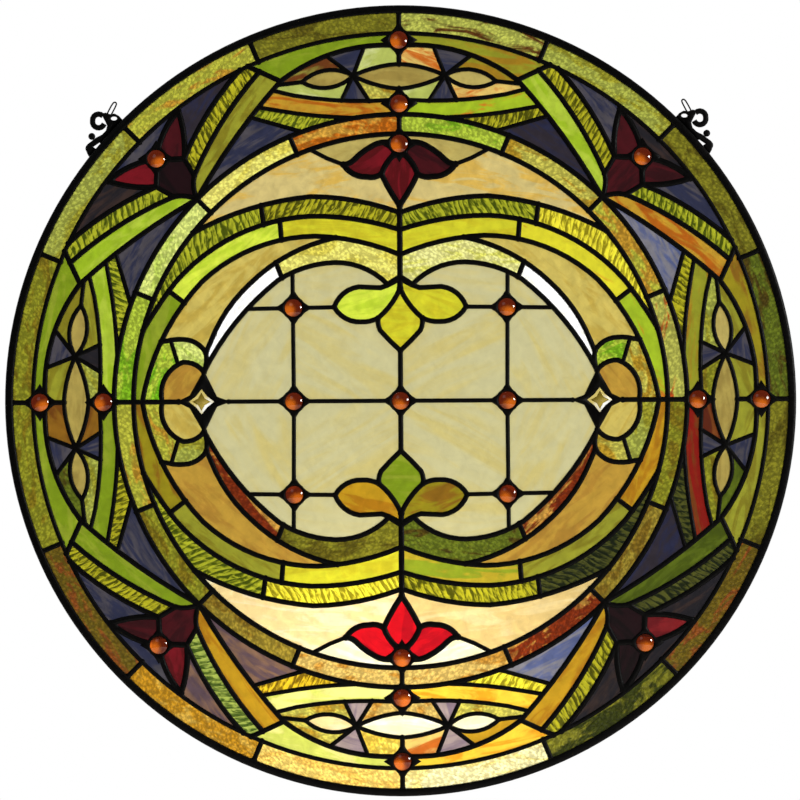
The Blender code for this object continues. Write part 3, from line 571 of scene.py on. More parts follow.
class Metalwork:
    """Flat metal made of bands along lines and of plates, with holes, that is crowned like solder."""

    def __init__(self, wide):
        self.wide = wide
        self.bands = []
        self.plates = []
        self.holes = []

    def band(self, line, wide=None):
        wide = wide or self.wide
        self.bands.append((line, wide, [ribbon(line, wide), ribbon(line, wide * 0.5)]))

    def ring(self, radius, wide):
        loops = [circle(radius + wide * share) for share in (1 / 2, -1 / 2, 1 / 4, -1 / 4)]
        self.bands.append((closed(circle(radius)), wide, loops))

    def plate(self, loop, round_off):
        middle = loop.mean(axis=0)
        reach = np.hypot(*(loop - middle).T).min()
        self.plates.append((loop, round_off, middle + (loop - middle) * (1 - round_off / reach)))

    def loops(self):
        """Every outline of the metal, and the lines along which its crown is given a height."""
        found = [loop for _, _, loops in self.bands for loop in loops]
        found += [loop for outer, _, inner in self.plates for loop in (outer, inner)]
        return found + self.holes

    def covers(self, points):
        """Which points lie on the metal."""
        hit = np.zeros(len(points), bool)
        for line, _, loops in self.bands:
            on_band = inside(points, loops[0])
            if (line[0] == line[-1]).all():
                on_band &= ~inside(points, loops[1])
            hit |= on_band
        for outer, _, _ in self.plates:
            hit |= inside(points, outer)
        return hit & ~self.in_hole(points)

    def in_hole(self, points):
        hit = np.zeros(len(points), bool)
        for loop in self.holes:
            hit |= inside(points, loop)
        return hit

    def crown(self, points):
        """How high the metal stands at each point, from 0 at its edge to 1 at its middle."""
        height = np.zeros(len(points))
        for line, wide, _ in self.bands:
            near = near_to(points, line, wide)
            far = away_from(points[near], line) / (wide / 2)
            height[near] = np.maximum(height[near], np.sqrt(np.clip(1 - far**2, 0, 1)))
        for outer, round_off, _ in self.plates:
            near = np.flatnonzero(inside(points, outer))
            height[near] = np.maximum(height[near], rising(points[near], outer, round_off))
        for loop in self.holes:
            near = near_to(points, loop, self.wide / 3)
            height[near] *= rising(points[near], loop, self.wide / 3)
        return height


def drawn(loops):
    """These outlines as one flat net of triangles: its corners and its triangles."""
    edges = []
    count = 0
    for loop in loops:
        edges += [(count + i, count + (i + 1) % len(loop)) for i in range(len(loop))]
        count += len(loop)
    points = [tuple(point) for point in np.vstack(loops)]
    found = delaunay_2d_cdt(points, edges, [], 0, MERGE, False)
    return np.array([tuple(p) for p in found[0]]), np.array([tuple(f) for f in found[2]], int)


def window_metal(lead, jewel):
    """All the lead of the window: lines, rings, collars round the jewels and diamond plates."""
    metal = Metalwork(lead)
    for radius, share in ((RING_IN, PLAIN), (RING_OUT, PLAIN), (BORDER, SLIM)):
        metal.ring(radius, lead * share)
    for share, line in cartoon():
        wide = lead * share
        metal.band(line, wide)
        for end in (line[0], line[-1]):
            metal.plate(circle(wide * BLOB, 12, end), wide * BLOB_ROUNDED)
    for place in JEWELS.values():
        metal.plate(circle(jewel + COLLAR, 24, place), ROUNDED)
        metal.plate(star(place, *STAR), ROUNDED)
        metal.holes.append(circle(jewel, 24, place))
    upper = np.array(DIAMOND_PLATE)
    plate = np.vstack([upper, upper[-2:0:-1] * (1, -1)])
    for side in (1, -1):
        metal.plate(plate * (side, 1), ROUNDED)
        metal.holes.append(star((side * DIAMOND_AT, 0), *DIAMOND_HOLE))
    return metal


def star(centre, reach, waist):
    """The outline of a diamond with four points and hollow sides."""
    corners = []
    for index in range(4):
        angle = index * math.pi / 2
        tip = np.array([math.cos(angle), math.sin(angle)]) * reach
        after = np.array([-tip[1], tip[0]])
        dip = reach / math.sqrt(2) - waist
        corners.append(arc(tip, after, dip, 0.3)[:-1])
    return np.vstack(corners) + centre


def tiles(triangles, free):
    """Numbers the panes: runs of free triangles that meet along an edge get the same number."""
    beside = {}
    sides = [[tuple(sorted(side)) for side in ((a, b), (b, c), (c, a))] for a, b, c in triangles]
    for index in np.flatnonzero(free):
        for side in sides[index]:
            beside.setdefault(side, []).append(index)
    label = np.full(len(triangles), -1)
    count = 0
    for first in np.flatnonzero(free):
        if label[first] >= 0:
            continue
        label[first] = count
        waiting = [first]
        while waiting:
            for side in sides[waiting.pop()]:
                for other in beside[side]:
                    if label[other] < 0:
                        label[other] = count
                        waiting.append(other)
        count += 1
    return label


@functools.cache
def window_plan(lead, jewel):
    """The window's flat drawing for this lead width and jewel radius, worked out once.

    Gives the metal, the net's corners and triangles, which triangles are metal, and the number of
    the pane that each other triangle belongs to, or -1.
    """
    metal = window_metal(lead, jewel)
    edge = circle(RIM_INSIDE)
    corners, triangles = drawn(metal.loops() + [edge])
    middles = corners[triangles].mean(axis=1)
    solid = metal.covers(middles) & inside(middles, edge)
    free = ~solid & ~metal.in_hole(middles) & inside(middles, edge)
    return metal, corners, triangles, solid, tiles(triangles, free)


def the_plan(sizes):
    """The window's flat drawing at the sizes that the user has set."""
    return window_plan(sizes.lead_wide / MM, sizes.jewel_wide / 2 / MM)


def pane_glasses():
    """Every pane's place, with the name of its glass node and of its sheet of glass."""
    sides = ("top", "left", "bottom", "right")
    found = []
    for node, panes in EIGHTHS.items():
        for (u, v), names in panes:
            places = ((u, v), (-u, v), (-v, u), (-v, -u), (-u, -v), (u, -v), (v, -u), (v, u))
            homes = ("top", "top", "left", "left", "bottom", "bottom", "right", "right")
            if node == "corner_tulip":
                homes = ("top_right", "top_left", "top_left", "bottom_left")
                homes += ("bottom_left", "bottom_right", "bottom_right", "top_right")
            for place, home, name in zip(places, homes, names.split()):
                full = f"{node}_{home}" if node in ("field", "corner_tulip") else node
                found.append((place, full, name))
    for node, panes in AXES.items():
        for (u, v), names in panes:
            places = ((u, v), (-v, u), (-u, -v), (v, -u))
            found += [(p, f"{node}_{side}", name) for p, side, name in zip(places, sides, names.split())]
    for node, panes in CORNERS.items():
        for place, names in panes:
            for (corner, signs), name in zip(QUARTERS.items(), names.split()):
                found.append((np.multiply(place, signs), f"{node}_{corner}", name))
    for node, panes in PICTURE.items():
        for place, names in panes:
            for (corner, signs), name in zip(QUARTERS.items(), names.split()):
                upright, level = corner.split("_")
                home = {"tan_field": corner, "crescent": corner, "horseshoe": level, "half_moon": level}
                full = node if node == "cream_grid" else f"{node}_{home.get(node, upright)}"
                found.append((np.multiply(place, signs), full, name))
    for node, panes in UPRIGHT.items():
        for (u, v), names in panes:
            for up, home, name in zip((1, -1), ("top", "bottom"), names.split()):
                found.append(((u, v * up), f"{node}_{home}", name))
    return found


def triangle_at(corners, triangles, place):
    """The number of the triangle that this place lies in."""
    a, b, c = (corners[triangles[:, index]] for index in range(3))
    turns = []
    for start, end in ((a, b), (b, c), (c, a)):
        along, away = end - start, np.array(place) - start
        turns.append(along[:, 0] * away[:, 1] - along[:, 1] * away[:, 0])
    return int(np.flatnonzero(np.min(turns, axis=0) >= 0)[0])


def add(tree, kind, inputs=(), out=0, **settings):
    """Adds one shader node with these settings and gives back one of its outputs.

    Its inputs are values or other nodes' outputs, by name or in the node's own order.
    """
    node = tree.nodes.new(f"ShaderNode{kind}")
    for name, value in settings.items():
        setattr(node, name, value)
    for name, value in inputs.items() if isinstance(inputs, dict) else enumerate(inputs):
        if isinstance(value, bpy.types.NodeSocket):
            tree.links.new(value, node.inputs[name])
        else:
            node.inputs[name].default_value = value
    return node.outputs[out] if node.outputs else None


def new_material(name, shader):
    """A material whose nodes the given function adds, before it gives back the shader's output."""
    made = bpy.data.materials.new(name)
    made.use_nodes = True
    made.node_tree.nodes.clear()
    add(made.node_tree, "OutputMaterial", {"Surface": shader(made.node_tree)})
    return made


def sheet_glass(surface):
    """Sheet glass of one surface, which takes its two colours from each pane."""
    name, long_run, apart, soft, rough, through, shade, depth = SURFACES[surface]

    def shader(tree):
        sheet = add(tree, "UVMap", uv_map="sheet")
        main = add(tree, "Attribute", attribute_name="main")
        streak = add(tree, "Attribute", attribute_name="streak")

        # Streaks were pulled along the sheet while it was poured, so they are long and narrow. The
        # streak colour's alpha is the share of the pane that they cover.
        run = {"Vector": sheet, "Scale": (long_run, apart, 1)}
        pulled = add(tree, "Mapping", run, vector_type="TEXTURE")
        wisps = {"Vector": pulled, "Scale": 1.0, "Detail": 5.0, "Roughness": 0.62, "Distortion": 1.3}
        flow = add(tree, "TexNoise", wisps)
        share = streak.node.outputs["Alpha"]
        level = add(tree, "Math", (share, -0.42, 0.70), operation="MULTIPLY_ADD")
        low = add(tree, "Math", (level, soft), operation="SUBTRACT")
        high = add(tree, "Math", (level, soft), operation="ADD")
        streaked = add(tree, "MapRange", (flow, low, high), interpolation_type="SMOOTHSTEP")

        # Clouding, a few millimetres across, keeps any one colour from lying flat
        clouding = {"Vector": sheet, "Scale": 1 / 8.0, "Detail": 4.0, "Roughness": 0.62, "Distortion": 0.5}
        height = cloud = add(tree, "TexNoise", clouding)
        if surface in ("hammered", "clear"):
            # The hammered roll leaves shallow creases about 2 mm apart. Their height makes the bump and also
            # the painted glints and shade in the colour.
            slant = {"Vector": sheet, "Rotation": (0, 0, math.radians(55)), "Scale": (1.5, 3.4, 1)}
            creased = add(tree, "Mapping", slant, vector_type="TEXTURE")
            crumple = {"Vector": creased, "Scale": 1.0, "Detail": 2.0, "Distortion": 0.9}
            creases = add(tree, "TexNoise", crumple)
            dimples = add(tree, "TexVoronoi", {"Vector": sheet, "Scale": 1 / 2.5})
            height = add(tree, "Math", (dimples, -0.55, creases), operation="MULTIPLY_ADD")
        elif surface == "rippled":
            # Ripples run slantwise over the sheet, about 5 mm from crest to crest, and wander
            slant = {"Vector": sheet, "Rotation": (0, 0, math.radians(-25)), "Scale": (4.6, 4.6, 1)}
            slanted = add(tree, "Mapping", slant, vector_type="TEXTURE")
            ripple = {"Scale": math.tau / 20, "Distortion": 9.0, "Detail": 2.0, "Detail Scale": 0.45}
            waves = add(tree, "TexWave", {"Vector": slanted} | ripple, "Fac", wave_profile="SAW")
            fold = {"Vector": sheet, "Rotation": (0, 0, math.radians(-35)), "Scale": (4.4, 15.0, 1)}
            folded = add(tree, "Mapping", fold, vector_type="TEXTURE")
            folds = add(tree, "TexNoise", {"Vector": folded, "Scale": 1.0, "Detail": 3.0, "Distortion": 2.2})
            height = add(tree, "Math", (waves, 0.28, folds), operation="MULTIPLY_ADD")
            # Where the ripples are low, the second colour is laid on as painted shade, over a quarter of the
            # streaks
            fall = (height, 0.74, 0.52, 0.0, 0.95)
            painted_trough_shade = add(tree, "MapRange", fall, interpolation_type="SMOOTHSTEP")
            streaks_and_painted_trough_shade = (streaked, 0.25, painted_trough_shade)
            streaked = add(tree, "Math", streaks_and_painted_trough_shade, operation="MULTIPLY_ADD", use_clamp=True)
        colour = add(tree, "Mix", {"Factor": streaked, 6: main, 7: streak}, 2, data_type="RGBA")
        # Brightness from the surface's height, painted into the colour: painted glints and shade on
        # hammered, clear and rippled glass, random mottling on the others
        bright = add(tree, "MapRange", (height, *shade))
        drift = add(tree, "MapRange", (cloud, 0.3, 0.7, 0.95, 1.06))
        light = add(tree, "Math", (bright, drift), operation="MULTIPLY")
        colour_with_painted_glints_and_mottling = add(tree, "VectorMath", {0: colour, "Scale": light}, operation="SCALE")
        bump = add(tree, "Bump", {"Height": height, "Distance": depth, "Strength": 0.6})
        finish = {"Roughness": rough, "IOR": 1.5, "Transmission Weight": through, "Normal": bump}
        return add(tree, "BsdfPrincipled", {"Base Color": colour_with_painted_glints_and_mottling} | finish)

    return new_material(name, shader)


def patina_metal(name, colour, grain, rough):
    """Metal that acid has blackened: darker and paler in blotches, with a grain of this size.

    The black film is thin, so the metal under it still gives a soft, uneven shine.
    """

    def shader(tree):
        place = add(tree, "TexCoord", out="Object")
        blotch = add(tree, "TexNoise", {"Vector": place, "Scale": 1 / 0.012, "Detail": 3.0})
        fine = add(tree, "TexNoise", {"Vector": place, "Scale": 1 / grain, "Detail": 3.0})
        dark, pale = ((*[value * share for value in colour], 1.0) for share in (0.6, 1.5))
        tint = add(tree, "Mix", {"Factor": blotch, 6: dark, 7: pale}, 2, data_type="RGBA")
        shine = add(tree, "MapRange", (fine, 0.3, 0.7, rough - 0.08, rough + 0.12))
        bump = add(tree, "Bump", {"Height": fine, "Distance": 0.0003, "Strength": 0.5})
        finish = {"Metallic": 0.5, "Roughness": shine, "Specular IOR Level": 0.25, "Normal": bump}
        return add(tree, "BsdfPrincipled", {"Base Color": tint} | finish)

    return new_material(name, shader)


def pressed_glass_with_painted_glow(name, deep, pale):
    """Polished pressed glass: deep in colour, with a paler patch of painted glow near one edge that fades
    into it, broken by random swirls.

    It was pressed in a polished mould, so it has no grain and a sharp highlight.
    """

    def shader(tree):
        place = add(tree, "UVMap", uv_map="dome")
        swirl = add(tree, "TexNoise", {"Vector": place, "Scale": 1.3, "Detail": 1.0, "Distortion": 0.6})
        # How far each spot lies from where the painted glow is brightest, near the lower edge of the map
        away = add(tree, "VectorMath", (place, (-0.1, -0.6, 0)), "Value", operation="DISTANCE")
        swirled = add(tree, "Math", (swirl, -0.6, away), operation="MULTIPLY_ADD")
        share = add(tree, "MapRange", (swirled, 0.75, -0.15), interpolation_type="SMOOTHSTEP")
        colours = {"Factor": share, 6: (*deep, 1.0), 7: (*pale, 1.0)}
        tint = add(tree, "Mix", colours, 2, data_type="RGBA")
        glass = {"Base Color": tint, "Roughness": 0.03, "IOR": 1.52, "Transmission Weight": 0.92}
        return add(tree, "BsdfPrincipled", glass | {"Coat Weight": 0.4, "Coat Roughness": 0.03})

    return new_material(name, shader)


def map_dome(mesh, place, reach, turn):
    """Lays a map over a jewel: its middle is zero, its edge is one, and it is turned this far."""
    layer = mesh.loops.layers.uv.new("dome")
    middle = at(*place)
    for face in mesh.faces:
        for loop in face.loops:
            across = Vector((loop.vert.co.x - middle.x, loop.vert.co.z - middle.z)) / (reach * MM)
            across.rotate(Matrix.Rotation(turn, 2))
            loop[layer].uv = across


def put(name, mesh, materials, nodes, smooth=True):
    """Makes a finished piece of this mesh that rides on the panel and stands for these nodes."""
    bmesh.ops.recalc_face_normals(mesh, faces=mesh.faces[:])
    data = bpy.data.meshes.new(name)
    mesh.to_mesh(data)
    mesh.free()
    for material in materials:
        data.materials.append(material)
    data.polygons.foreach_set("use_smooth", [smooth] * len(data.polygons))
    piece = bpy.data.objects.new(name, data)
    bpy.context.scene.collection.objects.link(piece)
    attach(piece, "root")
    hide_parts(*nodes)


def at(u, v, depth=0.0):
    """A place of the cartoon in the scene, this far in front of or behind the middle of the panel."""
    return Vector((MIDDLE.x + u * MM, MIDDLE.y + depth * MM, MIDDLE.z + v * MM))


def shift(mesh, back, verts=None):
    """Moves these corners of a mesh, or all of them, this far back."""
    bmesh.ops.translate(mesh, verts=list(verts or mesh.verts), vec=(0, back, 0))


def only(kind, items):
    """The corners or the edges among what an operator gave back."""
    return [item for item in items if isinstance(item, kind)]


def flat_mesh(corners, triangles, depth):
    """A flat mesh of these triangles that faces the front."""
    mesh = bmesh.new()
    made = {}
    for triangle in triangles:
        for corner in triangle:
            if corner not in made:
                made[corner] = mesh.verts.new(at(*corners[corner], depth))
        mesh.faces.new([made[corner] for corner in triangle])
    return mesh


def crowned(metal, corners, triangles, edge, crown, beads=0.0):
    """A closed body of crowned metal: each face stands edge and, at its middle, crown more."""
    mesh = flat_mesh(corners, triangles, 0.0)
    base = mesh.faces[:]
    top = only(bmesh.types.BMVert, bmesh.ops.extrude_face_region(mesh, geom=base)["geom"])
    places = np.array([((v.co.x - MIDDLE.x) / MM, (v.co.z - MIDDLE.z) / MM) for v in top])
    for vertex, height, place in zip(top, metal.crown(places), places):
        uneven = 1 + beads * noise.noise(Vector((*place * 0.11, 3.0)))
        vertex.co.y = MIDDLE.y - edge - crown * height * uneven
    bmesh.ops.delete(mesh, geom=[face for face in base if face.is_valid], context="FACES_ONLY")
    whole = mesh.verts[:] + mesh.edges[:] + mesh.faces[:]
    turn = Matrix.Translation((0, MIDDLE.y, 0))
    bmesh.ops.mirror(mesh, geom=whole, matrix=turn, merge_dist=1e-7, axis="Y")
    return mesh


class WINDOW_OT_lead(Operator):
    """Builds the crowned lead lines, the collars round the jewels and the diamond plates"""

    bl_idname = "window.lead"
    bl_label = "Lead Lines"

    def execute(self, context):
        sizes = context.scene.window_sizes
        metal, corners, triangles, solid, _ = the_plan(sizes)
        mesh = crowned(metal, corners, triangles[solid], sizes.lead_edge, sizes.lead_crown, BEADING)
        black = context.scene.window_colours.patina
        patina = patina_metal("solder with black patina", black, 0.0012, 0.42)
        put("lead_lines", mesh, [patina], ["leading"])
        return {"FINISHED"}


class WINDOW_OT_glass(Operator):
    """Builds every pane of glass, joined node by node"""

    bl_idname = "window.glass"
    bl_label = "Glass Panes"

    def execute(self, context):
        sizes = context.scene.window_sizes
        _, corners, triangles, _, label = the_plan(sizes)
        glasses = [sheet_glass(surface) for surface in SURFACES]
        for node, panes in self.homes(corners, triangles, label).items():
            whole = bmesh.new()
            main = whole.loops.layers.float_color.new("main")
            streak = whole.loops.layers.float_color.new("streak")
            sheet_map = whole.loops.layers.uv.new("sheet")
            for pane, sheet in panes:
                surface, first, second, share = SHEETS[sheet]
                glass = list(SURFACES).index(surface)
                main_colour = (*linear(first), 1.0)
                streak_colour = (*linear(second), share)
                part = self.pane(corners, triangles[label == pane], sizes.glass_thick)
                run = self.run_of_sheet(part, pane)
                made = {vertex: whole.verts.new(vertex.co) for vertex in part.verts}
                for face in part.faces:
                    copy = whole.faces.new([made[vertex] for vertex in face.verts])
                    copy.material_index = glass
                    for loop in copy.loops:
                        loop[main] = main_colour
                        loop[streak] = streak_colour
                        loop[sheet_map].uv = run(loop.vert.co)
                part.free()
            put(f"panes_{node}", whole, glasses, [f"glass_{node}"], smooth=False)
        return {"FINISHED"}

    def homes(self, corners, triangles, label):
        """The panes of each glass node, by number, with the sheet that each is cut from."""
        homes = {}
        seen = set()
        for place, node, sheet in pane_glasses():
            pane = label[triangle_at(corners, triangles, place)]
            if pane < 0 or pane in seen:
                raise RuntimeError(f"no pane of its own at {place} for {node}")
            seen.add(pane)
            homes.setdefault(node, []).append((pane, sheet))
        left = set(range(label.max() + 1)) - seen
        if left:
            spots = [corners[triangles[label == pane]].mean(axis=(0, 1)).round(1) for pane in left]
            raise RuntimeError(f"panes without a sheet of glass: {spots}")
        return homes

    def pane(self, corners, triangles, thick):
        """One pane, as a flat body of this thickness."""
        part = flat_mesh(corners, triangles, -thick / 2 / MM)
        raised = bmesh.ops.extrude_face_region(part, geom=part.faces[:])["geom"]
        shift(part, 2 * (thick / 2 / MM) * MM, only(bmesh.types.BMVert, raised))
        return part

    def run_of_sheet(self, part, pane):
        """Gives each place its spot on the sheet, whose streaks run along the pane."""
        place = np.array([(v.co.x, v.co.z) for v in part.verts]) / MM
        centre = place.mean(axis=0)
        spread = np.linalg.svd(place - centre, full_matrices=False)[2]
        chance = random.Random(int(pane) * 7 + 3)
        start = (chance.uniform(0, 500), chance.uniform(0, 500))

        def run(spot):
            across = np.array((spot.x, spot.z)) / MM - centre
            return across @ spread[0] + start[0], across @ spread[1] + start[1]

        return run

    def slot_of(self, node):
        rows = frame["record"]["subparts"]
        return next(row["material_slot"] for row in rows if row["node"] == f"glass_{node}")


class WINDOW_OT_rim(Operator):
    """Builds the rounded metal came of the rim"""

    bl_idname = "window.rim"
    bl_label = "Rim"

    def execute(self, context):
        outer = (RIM_HIGH.x - RIM_LOW.x) / 2
        deep = (RIM_HIGH.y - RIM_LOW.y) / 2
        # The back half of the section, as shares of the width from inside out and of half the depth
        section = [(0.0, 0.25), (0.0, 0.75), (0.12, 0.95), (0.35, 1.0), (0.68, 1.0), (0.9, 0.9), (1.0, 0.6)]
        section += [(across, -up) for across, up in reversed(section)]
        mesh = bmesh.new()
        verts = []
        for across, up in section:
            place = Vector((outer - RIM_WIDE * (1 - across), deep * up, 0))
            verts.append(mesh.verts.new(MIDDLE + place))
        edges = [mesh.edges.new((verts[i - 1], verts[i])) for i in range(len(verts))]
        turned = {"cent": MIDDLE, "axis": (0, 1, 0), "angle": math.tau, "steps": 180}
        bmesh.ops.spin(mesh, geom=verts + edges, use_merge=True, **turned)
        bmesh.ops.remove_doubles(mesh, verts=mesh.verts[:], dist=1e-6)
        black = context.scene.window_colours.patina
        came = patina_metal("metal came with black patina", black, 0.002, 0.40)
        put("rim_came", mesh, [came], ["rim"])
        return {"FINISHED"}


class WINDOW_OT_jewels(Operator):
    """Builds the domed amber jewels"""

    bl_idname = "window.jewels"
    bl_label = "Round Jewels"

    def execute(self, context):
        colours = context.scene.window_colours
        radius = context.scene.window_sizes.jewel_wide / 2
        ball = (radius**2 + JEWEL_DOME**2) / (2 * JEWEL_DOME)
        upright = Matrix.Rotation(math.pi / 2, 3, "X")
        amber = pressed_glass_with_painted_glow("amber pressed glass", colours.amber_deep, colours.amber_painted_glow)
        for count, (name, place) in enumerate(JEWELS.items()):
            mesh = bmesh.new()
            bmesh.ops.create_uvsphere(mesh, u_segments=32, v_segments=48, radius=ball)
            bmesh.ops.rotate(mesh, verts=mesh.verts[:], cent=(0, 0, 0), matrix=upright)
            shift(mesh, ball - JEWEL_DOME)
            whole = mesh.verts[:] + mesh.edges[:] + mesh.faces[:]
            flat = {"plane_co": (0, 0, 0), "plane_no": (0, 1, 0), "clear_outer": True}
            cut = bmesh.ops.bisect_plane(mesh, geom=whole, **flat)["geom_cut"]
            girdle = bmesh.ops.extrude_edge_only(mesh, edges=only(bmesh.types.BMEdge, cut))["geom"]
            shift(mesh, JEWEL_THICK, only(bmesh.types.BMVert, girdle))
            bmesh.ops.holes_fill(mesh, edges=mesh.edges[:], sides=0)
            bmesh.ops.translate(mesh, verts=mesh.verts[:], vec=at(*place, JEWEL_FRONT))
            for edge in mesh.edges:
                edge.smooth = edge.calc_face_angle(0) < SHARP
            # The painted glow is turned a little another way on each jewel
            map_dome(mesh, place, radius / MM, 0.9 * math.sin(2.4 * count))
            put(f"cabochon_{name}", mesh, [amber], [f"jewel_{name}"])
        return {"FINISHED"}


class WINDOW_OT_diamonds(Operator):
    """Builds the two faceted diamonds"""

    bl_idname = "window.diamonds"
    bl_label = "Diamonds"

    def execute(self, context):
        colours = context.scene.window_colours
        # The table and the bevel each carry a patch of painted light; on the bevel it is a nearly white
        # painted glare
        gold = pressed_glass_with_painted_glow("pale gold cut glass", colours.diamond, colours.diamond_painted_light)
        edge = pressed_glass_with_painted_glow("bevelled edge of cut glass", colours.diamond_edge, colours.diamond_painted_glare)
        for name, side in (("left", -1), ("right", 1)):
            centre = (side * DIAMOND_AT, 0)
            mesh = bmesh.new()
            ring = [mesh.verts.new(at(*place, DIAMOND_FRONT)) for place in star(centre, *DIAMOND_SIZE)]
            walls = bmesh.ops.extrude_face_region(mesh, geom=[mesh.faces.new(ring)])["geom"]
            shift(mesh, DIAMOND_THICK, only(bmesh.types.BMVert, walls))
            for face in mesh.faces:
                face.material_index = 1
            front = next(face for face in mesh.faces if all(vertex in ring for vertex in face.verts))
            bmesh.ops.inset_individual(mesh, faces=[front], thickness=BEVEL[0])
            front.material_index = 0
            shift(mesh, -BEVEL[1], front.verts)
            bmesh.ops.inset_individual(mesh, faces=[front], thickness=TABLE_STEP[0])
            shift(mesh, TABLE_STEP[1], front.verts)
            shift(mesh, -PYRAMID, bmesh.ops.poke(mesh, faces=[front])["verts"])
            # The turn puts the painted glare at the lower right of the bevel
            map_dome(mesh, centre, DIAMOND_SIZE[0], -0.96)
            put(f"cut_diamond_{name}", mesh, [gold, edge], [f"diamond_{name}"], smooth=False)
        return {"FINISHED"}


class WINDOW_OT_brackets(Operator):
    """Builds the two cast scroll brackets"""

    bl_idname = "window.brackets"
    bl_label = "Scroll Brackets"

    # Places round the middle of the right scroll, in mm: the scroll, its arm and foot, the middle
    # and radius of each knob, the opening in the foot, and the eye
    scroll = [(-3.1, 3.7), 3.1, (4.8, 0), 4.3, (-4.15, -2.4)]
    arm = [(-20.6, -1.8), (-15.6, 3.6), (-12.4, 5.4), (-8.6, 5.0), (-5.4, 6.2), (-2.4, 5.6)]
    arm += [(-3.4, 2.2), (-5.0, -0.8), (-6.4, -3.9), (-5.4, -7.7), (-2.3, -10.8), (2.3, -13.1)]
    arm += [(5.0, -15.2), (9.0, -18.2), (10.4, -21.5), (9.2, -25.2), (6.2, -30.5), (0.0, -27.0)]
    arm += [(-16.0, -9.0)]
    knobs = [((5.5, -12.1), 2.7), ((6.9, -21.4), 3.6)]
    opening = [(4.4, -20.2), (-0.4, -16.9), (-1.5, -17.8), (1.6, -22.2)]
    eye = circle(1.9, 10) * (1.3, 0.8)
    eye_at = (-11.7, 1.6)

    # The width of the scroll, how far in from its edge the casting is rounded, and how far the
    # bracket stands off the disc, in mm, then half its flat thickness and its crown, in metres
    wide = 4.2
    round_off = 1.5
    off_disc = 0.1
    half_thick = 0.0004
    crown = 0.0009

    def execute(self, context):
        black = context.scene.window_colours.casting
        casting = patina_metal("black cast metal", black, 0.0009, 0.55)
        for name, side in (("left", -1), ("right", 1)):
            flip = (side, 1)
            metal = Metalwork(self.wide)
            metal.band((chain(self.scroll) + SCROLL) * flip)
            metal.plates.append(self.rounded(np.array(self.arm) + SCROLL, flip))
            for place, radius in self.knobs:
                metal.plate(circle(radius, 16, SCROLL + place) * flip, self.round_off)
            metal.holes.append((np.array(self.opening) + SCROLL) * flip)
            metal.holes.append((self.eye + SCROLL + self.eye_at) * flip)
            metal.holes.append(circle(DISC_RADIUS + self.off_disc, 240))
            corners, triangles = drawn(metal.loops())
            keep = metal.covers(corners[triangles].mean(axis=1))
            mesh = crowned(metal, corners, triangles[keep], self.half_thick, self.crown)
            put(f"scroll_bracket_{name}", mesh, [casting], [f"bracket_{name}"])
        return {"FINISHED"}

    def rounded(self, loop, flip):
        """A plate with its inner crown line, which follows the outline's bends."""
        before = loop - np.roll(loop, 1, axis=0)
        before /= np.hypot(*before.T)[:, None]
        after = np.roll(before, -1, axis=0)
        mitre = np.stack([(before + after)[:, 1], -(before + after)[:, 0]], -1)
        mitre /= (1 + (before * after).sum(-1))[:, None].clip(0.6)
        return loop * flip, self.round_off, (loop + mitre * self.round_off * 0.8) * flip


class WINDOW_OT_loops(Operator):
    """Builds the two wire loops that the panel hangs by"""

    bl_idname = "window.loops"
    bl_label = "Wire Loops"

    # Places that the right wire bends round, from the middle of its scroll, in mm
    bends = [(-5.4, 3.6), (-6.4, 6.0), (-9.6, 12.0), (-11.2, 14.2), (-12.6, 14.5), (-13.6, 13.4)]
    bends += [(-12.8, 11.2), (-9.8, 5.4), (-8.2, 2.8)]

    def execute(self, context):
        dark = context.scene.window_colours.casting
        metal = patina_metal("darkened copper wire", dark, 0.0006, 0.38)
        for name, side in (("left", -1), ("right", 1)):
            curve = bpy.data.curves.new("loop path", "CURVE")
            curve.dimensions = "3D"
            curve.resolution_u = 8
            curve.bevel_depth = context.scene.window_sizes.wire_thick / 2
            curve.bevel_resolution = 3
            curve.use_fill_caps = True
            spline = curve.splines.new("NURBS")
            spline.points.add(len(self.bends) - 1)
            for point, (across, up) in zip(spline.points, self.bends):
                point.co = (*at(side * (SCROLL[0] + across), SCROLL[1] + up, WIRE_DEPTH), 1.0)
            spline.order_u = 3
            spline.use_endpoint_u = True
            path = bpy.data.objects.new("loop path", curve)
            mesh = bmesh.new()
            mesh.from_mesh(path.to_mesh())
            bpy.data.objects.remove(path)
            put(f"hanging_wire_{name}", mesh, [metal], [f"wire_loop_{name}"])
        return {"FINISHED"}


